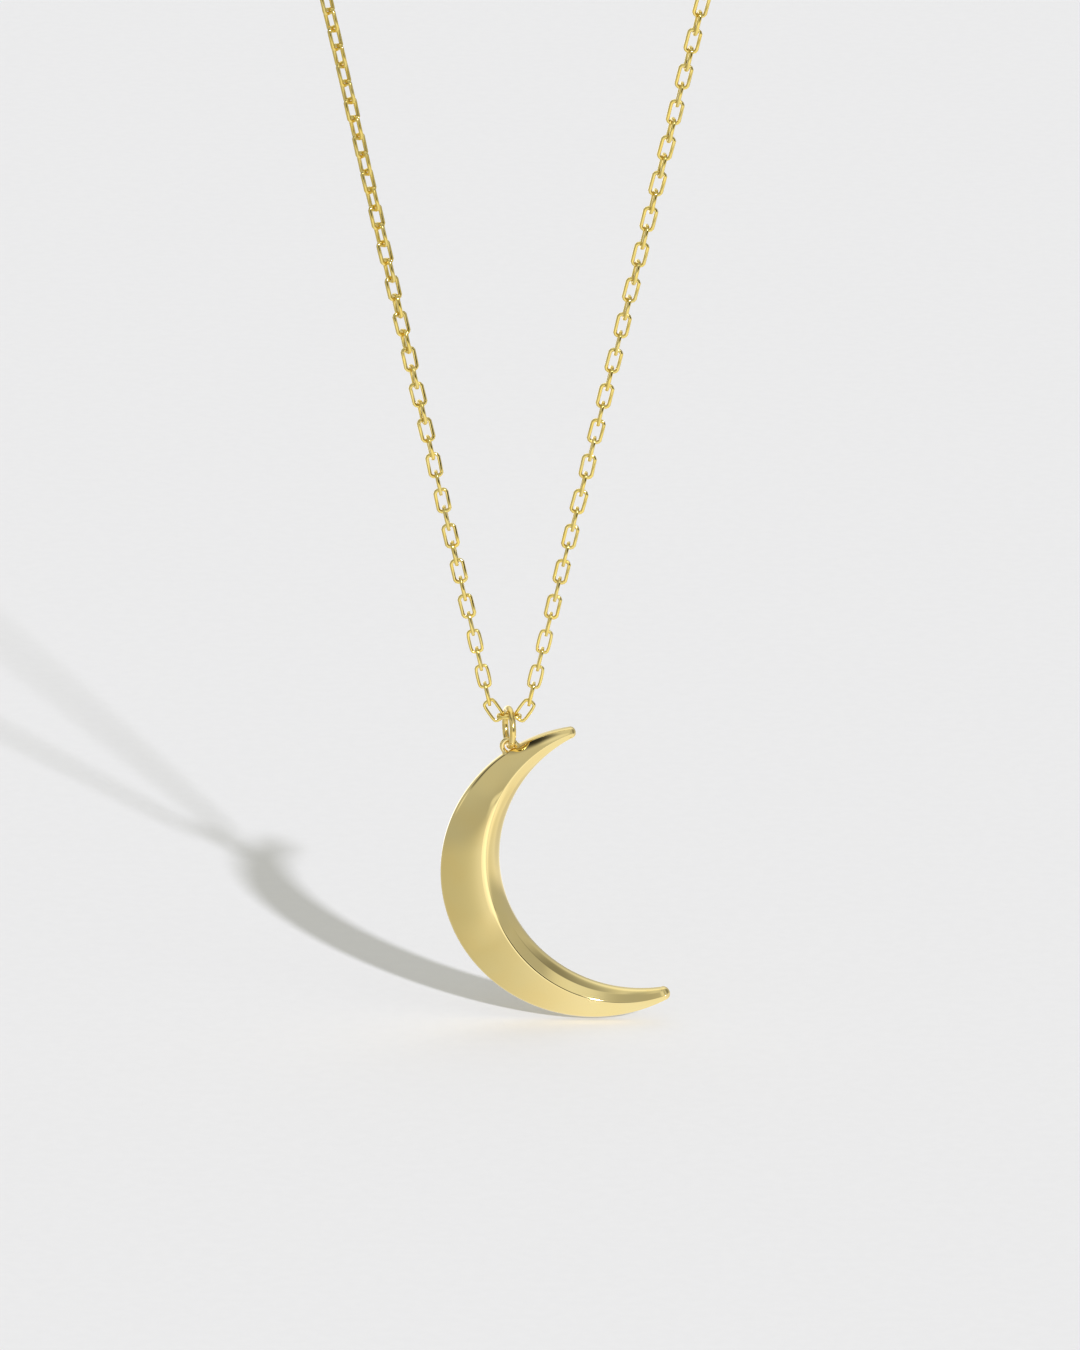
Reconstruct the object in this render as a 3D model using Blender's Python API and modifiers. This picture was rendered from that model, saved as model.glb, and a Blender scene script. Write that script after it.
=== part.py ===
"""Pendant necklace: a puffed crescent moon on a fine cable chain.

The crescent hangs by a soldered loop from a bail ring, and the ring hangs on the
chain's centre link. The chain closes at the nape with a spring ring clasp, which
hooks into the catch ring of an extension chain that ends in a bead.

Frame: +Z up, the front faces -Y, +X is to the viewer's right. The origin lies
midway between the two shoulder points of the loop, at the neck's front.
"""

import math

import bmesh
import bpy
from mathutils import Matrix, Vector

MM = 0.001

# The loop as it hangs round a neck
NECK_RADIUS = 32.0 * MM
NECK_DEPTH = 32.0 * MM
NECK_RISE = math.radians(15.0)
SHOULDER_RADIUS = 8.0 * MM
DROP_HALF_ANGLE = math.radians(12.95)

# Cable chain
CHAIN_WIRE = 0.28 * MM
CHAIN_LINK_WIDTH = 1.24 * MM
CHAIN_LINK_LENGTH = 2.09 * MM
CHAIN_PLAY = 0.04 * MM
FIRST_LINK_LEAN = math.radians(34.0)
FRONT_LINKS = 6
NAPE_LINKS = 3
STRAND_DIAMETER = 0.5 * MM
SEAT_GAP = 0.3 * MM

# Crescent
CRESCENT_OUTER_RADIUS = 12.3 * MM
CRESCENT_INNER_RADIUS = 11.4 * MM
CRESCENT_OFFSET = 4.07 * MM
CRESCENT_TILT = math.radians(20.5)
UPPER_HORN = math.radians(101.0)
LOWER_HORN = math.radians(98.5)
CRESCENT_THICKNESS = 2.3 * MM
RIM_HEIGHT = 0.6 * MM
RIDGE_AT_HORNS = 0.38
RIDGE_AT_MIDDLE = 0.78
CRESCENT_SECTIONS = 40
NUB_SECTIONS = 4
NUB_TURN = math.radians(72.0)

# Rings and loops
PENDANT_LOOP_RADIUS = 0.55 * MM
PENDANT_LOOP_WIRE = 0.4 * MM
LOOP_LIFT = 0.31 * MM
SOLDER_GAP = 0.1 * MM
RING_PLAY = 0.05 * MM
BAIL_RADIUS = 1.5 * MM
BAIL_WIRE = 0.52 * MM
BAIL_YAW = math.radians(12.0)
JUMP_RADIUS = 1.25 * MM
JUMP_WIRE = 0.5 * MM
CATCH_RADIUS = 1.7 * MM
CATCH_WIRE = 0.6 * MM

# Spring ring clasp; its angles run from +X towards +Z, seen from the front
CLASP_RADIUS = 2.2 * MM
CLASP_WALL = 0.17 * MM
BOLT_DIAMETER = 0.6 * MM
BOLT_CLEARANCE = 0.08 * MM
CLASP_BORE = BOLT_DIAMETER + 2.0 * BOLT_CLEARANCE
CLASP_TUBE = CLASP_BORE + 2.0 * CLASP_WALL
GATE_START = math.radians(35.0)
GATE_END = math.radians(85.0)
BOLT_OVERLAP = math.radians(8.0)
SOCKET_DEPTH = math.radians(14.0)
BOLT_TAIL = math.radians(135.0)
BOLT_TRAVEL = math.radians(55.0)
LUG_ANGLE = math.radians(94.0)
LUG_DIAMETER = 0.26 * MM
LUG_KNOB = 0.6 * MM
LUG_CLEARANCE = 0.09 * MM
SLOT_WIDTH = LUG_DIAMETER + 2.0 * LUG_CLEARANCE
SLOT_SPARE = math.radians(6.0)
CUT_PAST_END = math.radians(5.0)
BORE_END = math.radians(264.0)
SPRING_WIRE = 0.12 * MM
SPRING_TURNS = 9
SPRING_CLEARANCE = 0.05 * MM
SPRING_SEAT = math.radians(3.0)
EYELET_RADIUS = 0.6 * MM
EYELET_WIRE = 0.4 * MM

# Extension chain and its bead
EXTENSION_LINKS = 16
EXTENSION_WIRE = 0.5 * MM
EXTENSION_WIDTH = 2.7 * MM
EXTENSION_LENGTH = 3.6 * MM
EXTENSION_PLAY = 0.06 * MM
PIN_WIRE = 0.5 * MM
PIN_LOOP_RADIUS = 0.8 * MM
PIN_HEAD = 1.3 * MM
PIN_HEAD_HEIGHT = 0.3 * MM
BEAD_DIAMETER = 3.4 * MM
BEAD_CLEARANCE = 0.08 * MM

X_AXIS = Vector((1.0, 0.0, 0.0))
Y_AXIS = Vector((0.0, 1.0, 0.0))
Z_AXIS = Vector((0.0, 0.0, 1.0))

GOLD = (0.86, 0.70, 0.36, 1.0)
STEEL = (0.62, 0.61, 0.58, 1.0)


def clear_scene():
    for obj in list(bpy.data.objects):
        bpy.data.objects.remove(obj, do_unlink=True)


def collection(name, is_part):
    made = bpy.data.collections.new(name)
    made.hide_render = not is_part
    bpy.context.scene.collection.children.link(made)
    return made


def finish(name, colour, roughness):
    made = bpy.data.materials.new(name)
    made.use_nodes = True
    shader = made.node_tree.nodes["Principled BSDF"]
    shader.inputs["Base Color"].default_value = colour
    shader.inputs["Roughness"].default_value = roughness
    shader.inputs["Metallic"].default_value = 1.0
    return made


class Bench:
    """Puts objects in their collection, with their origin on a chosen pivot."""

    def __init__(self):
        self.parts = collection("pendant_necklace", True)
        self.cutters = collection("cutters", False)

    def add(self, name, data, material, pivot):
        obj = bpy.data.objects.new(name, data)
        obj.location = pivot
        data.materials.append(material)
        self.parts.objects.link(obj)
        return obj

    def add_cutter(self, name, data, pivot):
        obj = bpy.data.objects.new(name, data)
        obj.location = pivot
        obj.hide_render = True
        obj.display_type = "WIRE"
        self.cutters.objects.link(obj)
        return obj

    def wire(self, name, points, diameter, material, pivot, closed=False, rounding=1):
        """A round wire along a path given in world space."""
        data = wire_curve(name, points, diameter, pivot, closed, rounding)
        return self.add(name, data, material, pivot)

    def join(self, target, cutter, operation):
        """Unites target with another solid, or cuts it, by a live Boolean."""
        modifier = target.modifiers.new(f"{operation}_{cutter.name}".lower(), "BOOLEAN")
        modifier.operation = operation
        modifier.solver = "EXACT"
        modifier.object = cutter


def wire_curve(name, points, diameter, pivot, closed, rounding):
    curve = bpy.data.curves.new(name, "CURVE")
    curve.dimensions = "3D"
    curve.bevel_depth = diameter / 2.0
    curve.bevel_resolution = rounding
    curve.use_fill_caps = not closed
    spline = curve.splines.new("POLY")
    spline.points.add(len(points) - 1)
    spline.use_cyclic_u = closed
    spline.use_smooth = True
    for slot, point in zip(spline.points, points):
        slot.co = (*(point - pivot), 1.0)
    return curve


def wire_mesh(name, points, diameter, pivot, closed=False, rounding=2):
    """The same wire as a closed mesh, which a Boolean can use."""
    curve = wire_curve(name, points, diameter, pivot, closed, rounding)
    holder = bpy.data.objects.new(name, curve)
    bpy.context.scene.collection.objects.link(holder)
    graph = bpy.context.evaluated_depsgraph_get()
    mesh = bpy.data.meshes.new_from_object(holder.evaluated_get(graph))
    bpy.data.objects.remove(holder, do_unlink=True)
    weld(mesh)
    return mesh


def weld(mesh):
    work = bmesh.new()
    work.from_mesh(mesh)
    bmesh.ops.remove_doubles(work, verts=work.verts, dist=0.001 * MM)
    bmesh.ops.recalc_face_normals(work, faces=work.faces)
    work.to_mesh(mesh)
    work.free()


def loft(name, sections):
    """A closed solid through matching rings of points, with flat ends."""
    work = bmesh.new()
    rings = [[work.verts.new(point) for point in section] for section in sections]
    for near, far in zip(rings, rings[1:]):
        for i in range(len(near)):
            j = (i + 1) % len(near)
            work.faces.new((near[i], near[j], far[j], far[i]))
    work.faces.new(rings[0][::-1])
    work.faces.new(rings[-1])
    bmesh.ops.recalc_face_normals(work, faces=work.faces)
    mesh = bpy.data.meshes.new(name)
    work.to_mesh(mesh)
    work.free()
    return mesh


def primitive_mesh(name, make):
    """A mesh from one bmesh.ops call, which make(work) does."""
    work = bmesh.new()
    make(work)
    mesh = bpy.data.meshes.new(name)
    work.to_mesh(mesh)
    work.free()
    return mesh


def arc_points(centre, first, second, radius, start, end, count):
    """Points from start to end on a circle; angle 0 lies on first."""
    angles = [start + (end - start) * i / (count - 1) for i in range(count)]
    return [centre + radius * (first * math.cos(a) + second * math.sin(a)) for a in angles]


def ring_points(centre, first, second, radius, count=24):
    return arc_points(centre, first, second, radius, 0.0, math.tau * (1 - 1 / count), count)


def oval_points(centre, along, across, length, width, wire, steps=6):
    """The centreline of a link: two straight sides and two half rounds."""
    radius = (width - wire) / 2.0
    half = (length - width) / 2.0
    quarter = math.pi / 2.0
    head = arc_points(centre + along * half, along, across, radius, -quarter, quarter, steps)
    foot = arc_points(centre - along * half, -along, -across, radius, -quarter, quarter, steps)
    return head + foot


def staple_points(centre, outward, side, radius, leg, steps=9):
    """A half ring on two straight legs, which stand on the piece it is soldered to."""
    quarter = math.pi / 2.0
    bow = arc_points(centre, outward, side, radius, -quarter, quarter, steps)
    return [bow[0] - outward * leg] + bow + [bow[-1] - outward * leg]


def hooked(wire_centre, pull, wire_before, wire_after, play):
    """The next piece's wire centre, hooked round a wire and pulled along pull."""
    return wire_centre - pull * ((wire_before + wire_after) / 2.0 + play)


class CableLink:
    """The size of one chain's links and where they go along a line."""

    def __init__(self, length, width, wire, play):
        self.length = length
        self.width = width
        self.wire = wire
        self.play = play
        self.reach = length - wire

    def points(self, near, along, across):
        centre = near + along * (self.reach / 2.0)
        return oval_points(centre, along, across, self.length, self.width, self.wire)

    def far(self, near, along):
        return near + along * self.reach

    def hook(self, far, pull):
        """Where the next link of the same chain starts."""
        return hooked(far, pull, self.wire, self.wire, self.play)


CHAIN = CableLink(CHAIN_LINK_LENGTH, CHAIN_LINK_WIDTH, CHAIN_WIRE, CHAIN_PLAY)
EXTENSION = CableLink(EXTENSION_LENGTH, EXTENSION_WIDTH, EXTENSION_WIRE, EXTENSION_PLAY)


class Loop:
    """Where the chain runs: the front V, the shoulders and the neck arc."""

    def __init__(self):
        lean = DROP_HALF_ANGLE
        self.strand = Vector((math.sin(lean), 0.0, math.cos(lean)))
        self.backward = Vector((0.0, math.cos(NECK_RISE), math.sin(NECK_RISE)))
        self.bend = self.strand.angle(self.backward)
        self.setback = SHOULDER_RADIUS * math.tan(self.bend / 2.0)
        corner = Vector((NECK_RADIUS, 0.0, 0.0))
        self.shoulder = corner - self.strand * self.setback
        self.nape = self.backward * (self.setback + NECK_DEPTH)
        self.first_link = Vector((math.sin(FIRST_LINK_LEAN), 0.0, math.cos(FIRST_LINK_LEAN)))
        self.centre_link = self.find_centre_link()

    def find_centre_link(self):
        """The height at which both strands meet the ends of the centre link."""
        first = CHAIN.hook(X_AXIS * (CHAIN.reach / 2.0), self.first_link)
        second = CHAIN.hook(CHAIN.far(first, self.first_link), self.first_link)
        run = (self.shoulder.x - second.x) / self.strand.x
        return Vector((0.0, 0.0, self.shoulder.z - run * self.strand.z - second.z))

    def neck_points(self, end_x, count=14):
        """From the right shoulder, over the collar and round to end_x at the nape."""
        inward = (self.backward - self.strand * self.backward.dot(self.strand)).normalized()
        bend_centre = self.shoulder + inward * SHOULDER_RADIUS
        skip = SEAT_GAP / 2.0 / SHOULDER_RADIUS
        points = arc_points(
            bend_centre, -inward, self.strand, SHOULDER_RADIUS, skip, self.bend, 7
        )
        for i in range(1, count + 1):
            turn = math.pi / 2.0 * i / count
            across = end_x + (NECK_RADIUS - end_x) * math.cos(turn)
            back = self.setback + NECK_DEPTH * math.sin(turn)
            points.append(X_AXIS * across + self.backward * back)
        return points


def mirrored(point, side):
    return Vector((point.x * side, point.y, point.z))


def build_chain_links(bench, gold, name, near, along, across, other, count, pivot):
    """A run of hooked links, turned by a right angle each; returns the last far end."""
    far = near
    for number in range(1, count + 1):
        plane = across if number % 2 else other
        points = CHAIN.points(near, along, plane)
        bench.wire(f"{name}_{number}", points, CHAIN_WIRE, gold, pivot, closed=True)
        far = CHAIN.far(near, along)
        near = CHAIN.hook(far, along)
    return far


def build_front(bench, gold, loop):
    """The centre link, the links beside it and the two strands of the V."""
    pivot = Vector((0.0, 0.0, loop.shoulder.z))
    start = loop.centre_link - X_AXIS * (CHAIN.reach / 2.0)
    points = CHAIN.points(start, X_AXIS, Y_AXIS)
    bench.wire("centre_link", points, CHAIN_WIRE, gold, loop.centre_link, closed=True)
    for side, word in ((-1, "left"), (1, "right")):
        lean = mirrored(loop.first_link, side)
        strand = mirrored(loop.strand, side)
        end = loop.centre_link + X_AXIS * (side * CHAIN.reach / 2.0)
        near = CHAIN.hook(end, lean)
        across = lean.cross(Y_AXIS)
        bench.wire(
            f"front_link_{word}_1", CHAIN.points(near, lean, across), CHAIN_WIRE, gold, pivot, True
        )
        far = CHAIN.far(near, lean)
        pull = lean
        for number in range(2, FRONT_LINKS + 1):
            near = CHAIN.hook(far, pull)
            pull = strand
            across = strand.cross(Y_AXIS) if number % 2 else Y_AXIS
            points = CHAIN.points(near, strand, across)
            bench.wire(f"front_link_{word}_{number}", points, CHAIN_WIRE, gold, pivot, True)
            far = CHAIN.far(near, strand)
        low = far + strand * (CHAIN_WIRE / 2.0 + SEAT_GAP)
        high = mirrored(loop.shoulder, side) - strand * (SEAT_GAP / 2.0)
        bench.wire(f"strand_{word}", [low, high], STRAND_DIAMETER, gold, pivot, rounding=2)


class Crescent:
    """The crescent's outline and dome, about the centre of its outer circle."""

    def __init__(self):
        self.widest = self.width(0.0)

    def inner_radius(self, angle):
        """Distance from the outer centre to the inner circle, at this angle."""
        shift = -CRESCENT_OFFSET * math.cos(angle)
        chord = CRESCENT_INNER_RADIUS**2 - CRESCENT_OFFSET**2 + shift**2
        return math.sqrt(chord) + shift

    def width(self, angle):
        return CRESCENT_OUTER_RADIUS - self.inner_radius(angle)

    def section(self, angle, shrink=1.0, advance=0.0):
        """One cross-section, from the back's outer edge over the ridge to its inner edge."""
        outer = CRESCENT_OUTER_RADIUS
        width = self.width(angle)
        share = width / self.widest
        ridge = RIDGE_AT_HORNS + (RIDGE_AT_MIDDLE - RIDGE_AT_HORNS) * share
        dome = (CRESCENT_THICKNESS - RIM_HEIGHT) * share
        profile = [(0.0, 0.0), (0.0, RIM_HEIGHT)]
        profile += [(ridge * t, RIM_HEIGHT + dome * swell(t)) for t in (0.25, 0.5, 0.75, 1.0)]
        inner = (0.75, 0.5, 0.25)
        profile += [(1.0 - (1.0 - ridge) * t, RIM_HEIGHT + dome * swell(t)) for t in inner]
        profile += [(1.0, RIM_HEIGHT), (1.0, 0.0)]
        radial = Vector((-math.cos(angle), 0.0, math.sin(angle)))
        tangent = Vector((math.sin(angle), 0.0, math.cos(angle)))
        middle = radial * (outer - width / 2.0) - Y_AXIS * (RIM_HEIGHT / 2.0)
        points = []
        for across, height in profile:
            point = radial * (outer - width * across) - Y_AXIS * height
            points.append(middle + (point - middle) * shrink + tangent * advance)
        return points

    def sections(self):
        """Sections from horn to horn, each horn ending in a rounded nub."""
        span = UPPER_HORN + LOWER_HORN
        body = [
            self.section(-LOWER_HORN + span * i / (CRESCENT_SECTIONS - 1))
            for i in range(CRESCENT_SECTIONS)
        ]
        return self.nub(-LOWER_HORN, -1)[::-1] + body + self.nub(UPPER_HORN, 1)

    def nub(self, angle, direction):
        radius = self.width(angle) / 2.0
        turns = [NUB_TURN * i / NUB_SECTIONS for i in range(1, NUB_SECTIONS + 1)]
        return [
            self.section(angle, math.cos(turn), direction * radius * math.sin(turn))
            for turn in turns
        ]

    def build_mesh(self):
        turn = Matrix.Rotation(-CRESCENT_TILT, 3, "Y")
        sections = [[turn @ point for point in section] for section in self.sections()]
        return loft("crescent", sections)


def swell(share):
    """The dome's rise from rim (0) to ridge (1): slightly convex."""
    return math.sin(share * math.pi / 2.0) ** 0.85


def centre_of_mass(mesh):
    """The centroid of a closed mesh, summed over its tetrahedra."""
    total = 0.0
    moment = Vector()
    mesh.calc_loop_triangles()
    for triangle in mesh.loop_triangles:
        a, b, c = (mesh.vertices[i].co for i in triangle.vertices)
        volume = a.dot(b.cross(c)) / 6.0
        total += volume
        moment += (a + b + c) * (volume / 4.0)
    return moment / total


def build_pendant(bench, gold, loop):
    """The bail ring round the centre link, and the crescent hanging in balance from it."""
    ring_centre = loop.centre_link - Z_AXIS * bail_drop()
    across = Vector((-math.sin(BAIL_YAW), math.cos(BAIL_YAW), 0.0))
    points = ring_points(ring_centre, across, Z_AXIS, BAIL_RADIUS)
    bench.wire("bail_ring", points, BAIL_WIRE, gold, loop.centre_link, True, rounding=2)

    hook = ring_centre - Z_AXIS * BAIL_RADIUS
    play = (BAIL_WIRE + PENDANT_LOOP_WIRE) / 2.0 + RING_PLAY
    loop_centre = hook + Z_AXIS * (play - PENDANT_LOOP_RADIUS)

    mesh = Crescent().build_mesh()
    balance = centre_of_mass(mesh)
    stand_off = CRESCENT_OUTER_RADIUS + LOOP_LIFT
    outward = Vector((balance.x, 0.0, math.sqrt(stand_off**2 - balance.x**2))) / stand_off
    middle_of_rim = -Y_AXIS * (RIM_HEIGHT / 2.0)
    placed = loop_centre - outward * stand_off - middle_of_rim
    hang = placed + balance - hook
    level = Matrix.Rotation(math.atan2(hang.y, -hang.z), 4, "X")
    settle = Matrix.Translation(hook) @ level.inverted() @ Matrix.Translation(-hook)

    mesh.transform(Matrix.Translation(-hook) @ settle @ Matrix.Translation(placed))
    bench.add("crescent", mesh, gold, hook)
    side = outward.cross(Y_AXIS)
    bow = staple_points(
        loop_centre, outward, side, PENDANT_LOOP_RADIUS, LOOP_LIFT - SOLDER_GAP
    )
    bow = [settle @ point for point in bow]
    bench.wire("crescent_loop", bow, PENDANT_LOOP_WIRE, gold, hook, rounding=2)


def bail_drop():
    """How far the bail ring's centre hangs below the centre link's plane."""
    reach = BAIL_RADIUS - (BAIL_WIRE + CHAIN_WIRE) / 2.0 - RING_PLAY
    half_width = (CHAIN_LINK_WIDTH - CHAIN_WIRE) / 2.0
    return math.sqrt(reach**2 - half_width**2)


def clasp_arc(centre, start, end, radius=CLASP_RADIUS, step=math.radians(10.0)):
    count = max(3, math.ceil((end - start) / step) + 1)
    return arc_points(centre, X_AXIS, Z_AXIS, radius, start, end, count)


def slot_slab(start, end, steps=9):
    """A curved block about the clasp's axis, from the tube's middle out past its wall."""
    inner = CLASP_RADIUS
    outer = CLASP_RADIUS + CLASP_TUBE
    corners = ((inner, -1), (outer, -1), (outer, 1), (inner, 1))
    sections = []
    for i in range(steps):
        angle = start + (end - start) * i / (steps - 1)
        radial = X_AXIS * math.cos(angle) + Z_AXIS * math.sin(angle)
        sections.append([radial * r + Y_AXIS * (side * SLOT_WIDTH / 2.0) for r, side in corners])
    return loft("slot", sections)


def build_clasp(bench, gold, steel, centre):
    """Spring ring clasp: hollow ring, sliding bolt with its lug, spring and eyelet."""
    far_end = GATE_START + math.tau
    ring_path = clasp_arc(centre, GATE_END, far_end)
    ring = wire_mesh("clasp_ring", ring_path, CLASP_TUBE, centre)
    body = bench.add("clasp_ring", ring, gold, centre)
    bore_path = clasp_arc(centre, GATE_END - CUT_PAST_END, BORE_END)
    bore = bench.add_cutter("clasp_bore", wire_mesh("bore", bore_path, CLASP_BORE, centre), centre)
    socket_path = clasp_arc(centre, far_end - SOCKET_DEPTH, far_end + CUT_PAST_END)
    socket = bench.add_cutter(
        "clasp_socket", wire_mesh("socket", socket_path, CLASP_BORE, centre), centre
    )
    slab = slot_slab(GATE_END - CUT_PAST_END, LUG_ANGLE + BOLT_TRAVEL + SLOT_SPARE)
    slot = bench.add_cutter("clasp_slot", slab, centre)
    for cutter in (bore, socket, slot):
        bench.join(body, cutter, "DIFFERENCE")
    build_bolt(bench, steel, centre)
    build_spring(bench, steel, centre)
    base = centre - X_AXIS * (CLASP_RADIUS + CLASP_TUBE / 2.0)
    leg = EYELET_WIRE
    eyelet_centre = base - X_AXIS * (leg + SOLDER_GAP)
    points = staple_points(eyelet_centre, -X_AXIS, Z_AXIS, EYELET_RADIUS, leg)
    bench.wire("clasp_eyelet", points, EYELET_WIRE, gold, centre, rounding=2)
    return eyelet_centre - X_AXIS * EYELET_RADIUS


def build_bolt(bench, steel, centre):
    """The curved bolt that shuts the gate, with the lug that a fingernail pulls."""
    path = clasp_arc(centre, GATE_START - BOLT_OVERLAP, BOLT_TAIL)
    rod = wire_mesh("clasp_bolt", path, BOLT_DIAMETER, centre)
    bolt = bench.add("clasp_bolt", rod, steel, centre)
    radial = X_AXIS * math.cos(LUG_ANGLE) + Z_AXIS * math.sin(LUG_ANGLE)
    knob_at = radial * (CLASP_RADIUS + CLASP_TUBE / 2.0 + LUG_KNOB / 2.0 + SLOT_WIDTH / 4.0)
    stem_path = [radial * CLASP_RADIUS, knob_at]
    stem = wire_mesh("stem", stem_path, LUG_DIAMETER, Vector())
    knob = primitive_mesh(
        "knob",
        lambda work: bmesh.ops.create_uvsphere(
            work, u_segments=12, v_segments=8, radius=LUG_KNOB / 2.0,
            matrix=Matrix.Translation(knob_at),
        ),
    )
    for name, mesh in (("lug_stem", stem), ("lug_knob", knob)):
        bench.join(bolt, bench.add_cutter(name, mesh, centre), "UNION")


def build_spring(bench, steel, centre):
    """The coil that pushes the bolt shut, bent along the clasp's bore."""
    start = BOLT_TAIL + SPRING_SEAT
    end = BORE_END - SPRING_SEAT
    coil_radius = (CLASP_BORE - SPRING_WIRE) / 2.0 - SPRING_CLEARANCE
    per_turn = 8
    points = []
    for i in range(SPRING_TURNS * per_turn + 1):
        along = start + (end - start) * i / (SPRING_TURNS * per_turn)
        turn = math.tau * i / per_turn
        radial = X_AXIS * math.cos(along) + Z_AXIS * math.sin(along)
        offset = radial * math.cos(turn) + Y_AXIS * math.sin(turn)
        points.append(centre + radial * CLASP_RADIUS + offset * coil_radius)
    bench.wire("clasp_spring", points, SPRING_WIRE, steel, centre, rounding=1)


def build_nape(bench, gold, steel, loop):
    """The clasp, its rings and the chain ends, in one line across the nape."""
    clasp = loop.nape.copy()
    catch_wire = hooked(
        clasp + X_AXIS * CLASP_RADIUS, X_AXIS, CLASP_TUBE, CATCH_WIRE, RING_PLAY
    )
    catch = catch_wire + X_AXIS * CATCH_RADIUS
    right_wire = hooked(catch + X_AXIS * CATCH_RADIUS, X_AXIS, CATCH_WIRE, JUMP_WIRE, RING_PLAY)
    right_jump = right_wire + X_AXIS * JUMP_RADIUS
    eyelet_wire = build_clasp(bench, gold, steel, clasp)
    left_wire = hooked(eyelet_wire, -X_AXIS, EYELET_WIRE, JUMP_WIRE, RING_PLAY)
    left_jump = left_wire - X_AXIS * JUMP_RADIUS

    rings = (
        ("catch_ring", catch, Y_AXIS, CATCH_RADIUS, CATCH_WIRE),
        ("jump_ring_right", right_jump, Z_AXIS, JUMP_RADIUS, JUMP_WIRE),
        ("jump_ring_left", left_jump, Y_AXIS, JUMP_RADIUS, JUMP_WIRE),
    )
    for name, centre, other, radius, wire in rings:
        points = ring_points(centre, X_AXIS, other, radius)
        bench.wire(name, points, wire, gold, centre, True, rounding=2)

    ends = (
        ("right", 1, right_jump, Y_AXIS, Z_AXIS),
        ("left", -1, left_jump, Z_AXIS, Y_AXIS),
    )
    for word, side, jump, across, other in ends:
        pull = X_AXIS * side
        near = hooked(jump + pull * JUMP_RADIUS, pull, JUMP_WIRE, CHAIN_WIRE, CHAIN_PLAY)
        far = build_chain_links(
            bench, gold, f"nape_link_{word}", near, pull, across, other, NAPE_LINKS, loop.nape
        )
        end_x = side * far.x + CHAIN_WIRE / 2.0 + SEAT_GAP
        path = [mirrored(point, side) for point in loop.neck_points(end_x)]
        bench.wire(f"neck_chain_{word}", path, STRAND_DIAMETER, gold, loop.nape, rounding=2)
    return catch + Y_AXIS * CATCH_RADIUS


def build_extension(bench, gold, hook):
    """The extension chain that hangs from the catch ring, and the bead on its headpin."""
    down = -Z_AXIS
    wire = CATCH_WIRE
    for number in range(1, EXTENSION_LINKS + 1):
        near = hooked(hook, down, wire, EXTENSION_WIRE, EXTENSION_PLAY)
        across = Y_AXIS if number % 2 else X_AXIS
        points = EXTENSION.points(near, down, across)
        name = f"extension_link_{number:02d}"
        bench.wire(name, points, EXTENSION_WIRE, gold, hook, closed=True)
        hook = EXTENSION.far(near, down)
        wire = EXTENSION_WIRE
    build_bead(bench, gold, hook)


def build_bead(bench, gold, hook):
    """A headpin whose eye hangs on the last link, and the bead that turns on it."""
    eye_top = hooked(hook, -Z_AXIS, EXTENSION_WIRE, PIN_WIRE, EXTENSION_PLAY)
    eye = eye_top - Z_AXIS * PIN_LOOP_RADIUS
    eye_points = ring_points(eye, Y_AXIS, Z_AXIS, PIN_LOOP_RADIUS)
    pin = bench.add("headpin", wire_mesh("headpin", eye_points, PIN_WIRE, hook, True), gold, hook)
    bead_top = eye - Z_AXIS * (PIN_LOOP_RADIUS + PIN_WIRE / 2.0 + BEAD_CLEARANCE)
    bead_bottom = bead_top - Z_AXIS * bead_height()
    head_top = bead_bottom - Z_AXIS * BEAD_CLEARANCE
    head_bottom = head_top - Z_AXIS * PIN_HEAD_HEIGHT
    shank_path = [eye - Z_AXIS * PIN_LOOP_RADIUS, head_bottom + Z_AXIS * (PIN_HEAD_HEIGHT / 2.0)]
    shank = bench.add_cutter("shank", wire_mesh("shank", shank_path, PIN_WIRE, hook), hook)
    head_path = [head_top, head_bottom]
    head = bench.add_cutter("head", wire_mesh("head", head_path, PIN_HEAD, hook), hook)
    bench.join(pin, shank, "UNION")
    bench.join(pin, head, "UNION")
    centre = (bead_top + bead_bottom) / 2.0
    bead = bench.add("bead", bead_profile(), gold, centre)
    turn = bead.modifiers.new("turned", "SCREW")
    turn.axis = "Z"
    turn.steps = turn.render_steps = 20
    turn.use_merge_vertices = True
    turn.merge_threshold = 0.001 * MM


def bore_radius():
    return PIN_WIRE / 2.0 + BEAD_CLEARANCE


def bead_height():
    return 2.0 * math.sqrt((BEAD_DIAMETER / 2.0) ** 2 - bore_radius() ** 2)


def bead_profile(steps=9):
    """The bead's half outline, down its outside and up its bore."""
    radius = BEAD_DIAMETER / 2.0
    tilt = math.acos(bore_radius() / radius)
    angles = [tilt - 2.0 * tilt * i / (steps - 1) for i in range(steps)]
    outline = [Vector((radius * math.cos(a), 0.0, radius * math.sin(a))) for a in angles]
    mesh = bpy.data.meshes.new("bead")
    edges = [(i, (i + 1) % steps) for i in range(steps)]
    mesh.from_pydata(outline, edges, [])
    return mesh


def main():
    clear_scene()
    bench = Bench()
    gold = finish("plated_gold", GOLD, 0.2)
    steel = finish("spring_steel", STEEL, 0.35)
    loop = Loop()
    build_front(bench, gold, loop)
    build_pendant(bench, gold, loop)
    hook = build_nape(bench, gold, steel, loop)
    build_extension(bench, gold, hook)


if __name__ == "__main__":
    main()
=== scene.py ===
"""Looks of the pendant necklace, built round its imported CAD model.

The long wires that stand for chain in the CAD model are replaced by hooked cable
links, and the crescent, rings, clasp, extension and bead by finely modelled metal.
Everything is in metres, in the model's own frame: +Z up, the front faces -Y.
"""

import logging
import math
import random
from collections.abc import Callable, Iterable
from dataclasses import dataclass, field
from enum import Enum

import bmesh
import bpy
from mathutils import Matrix, Vector

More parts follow.
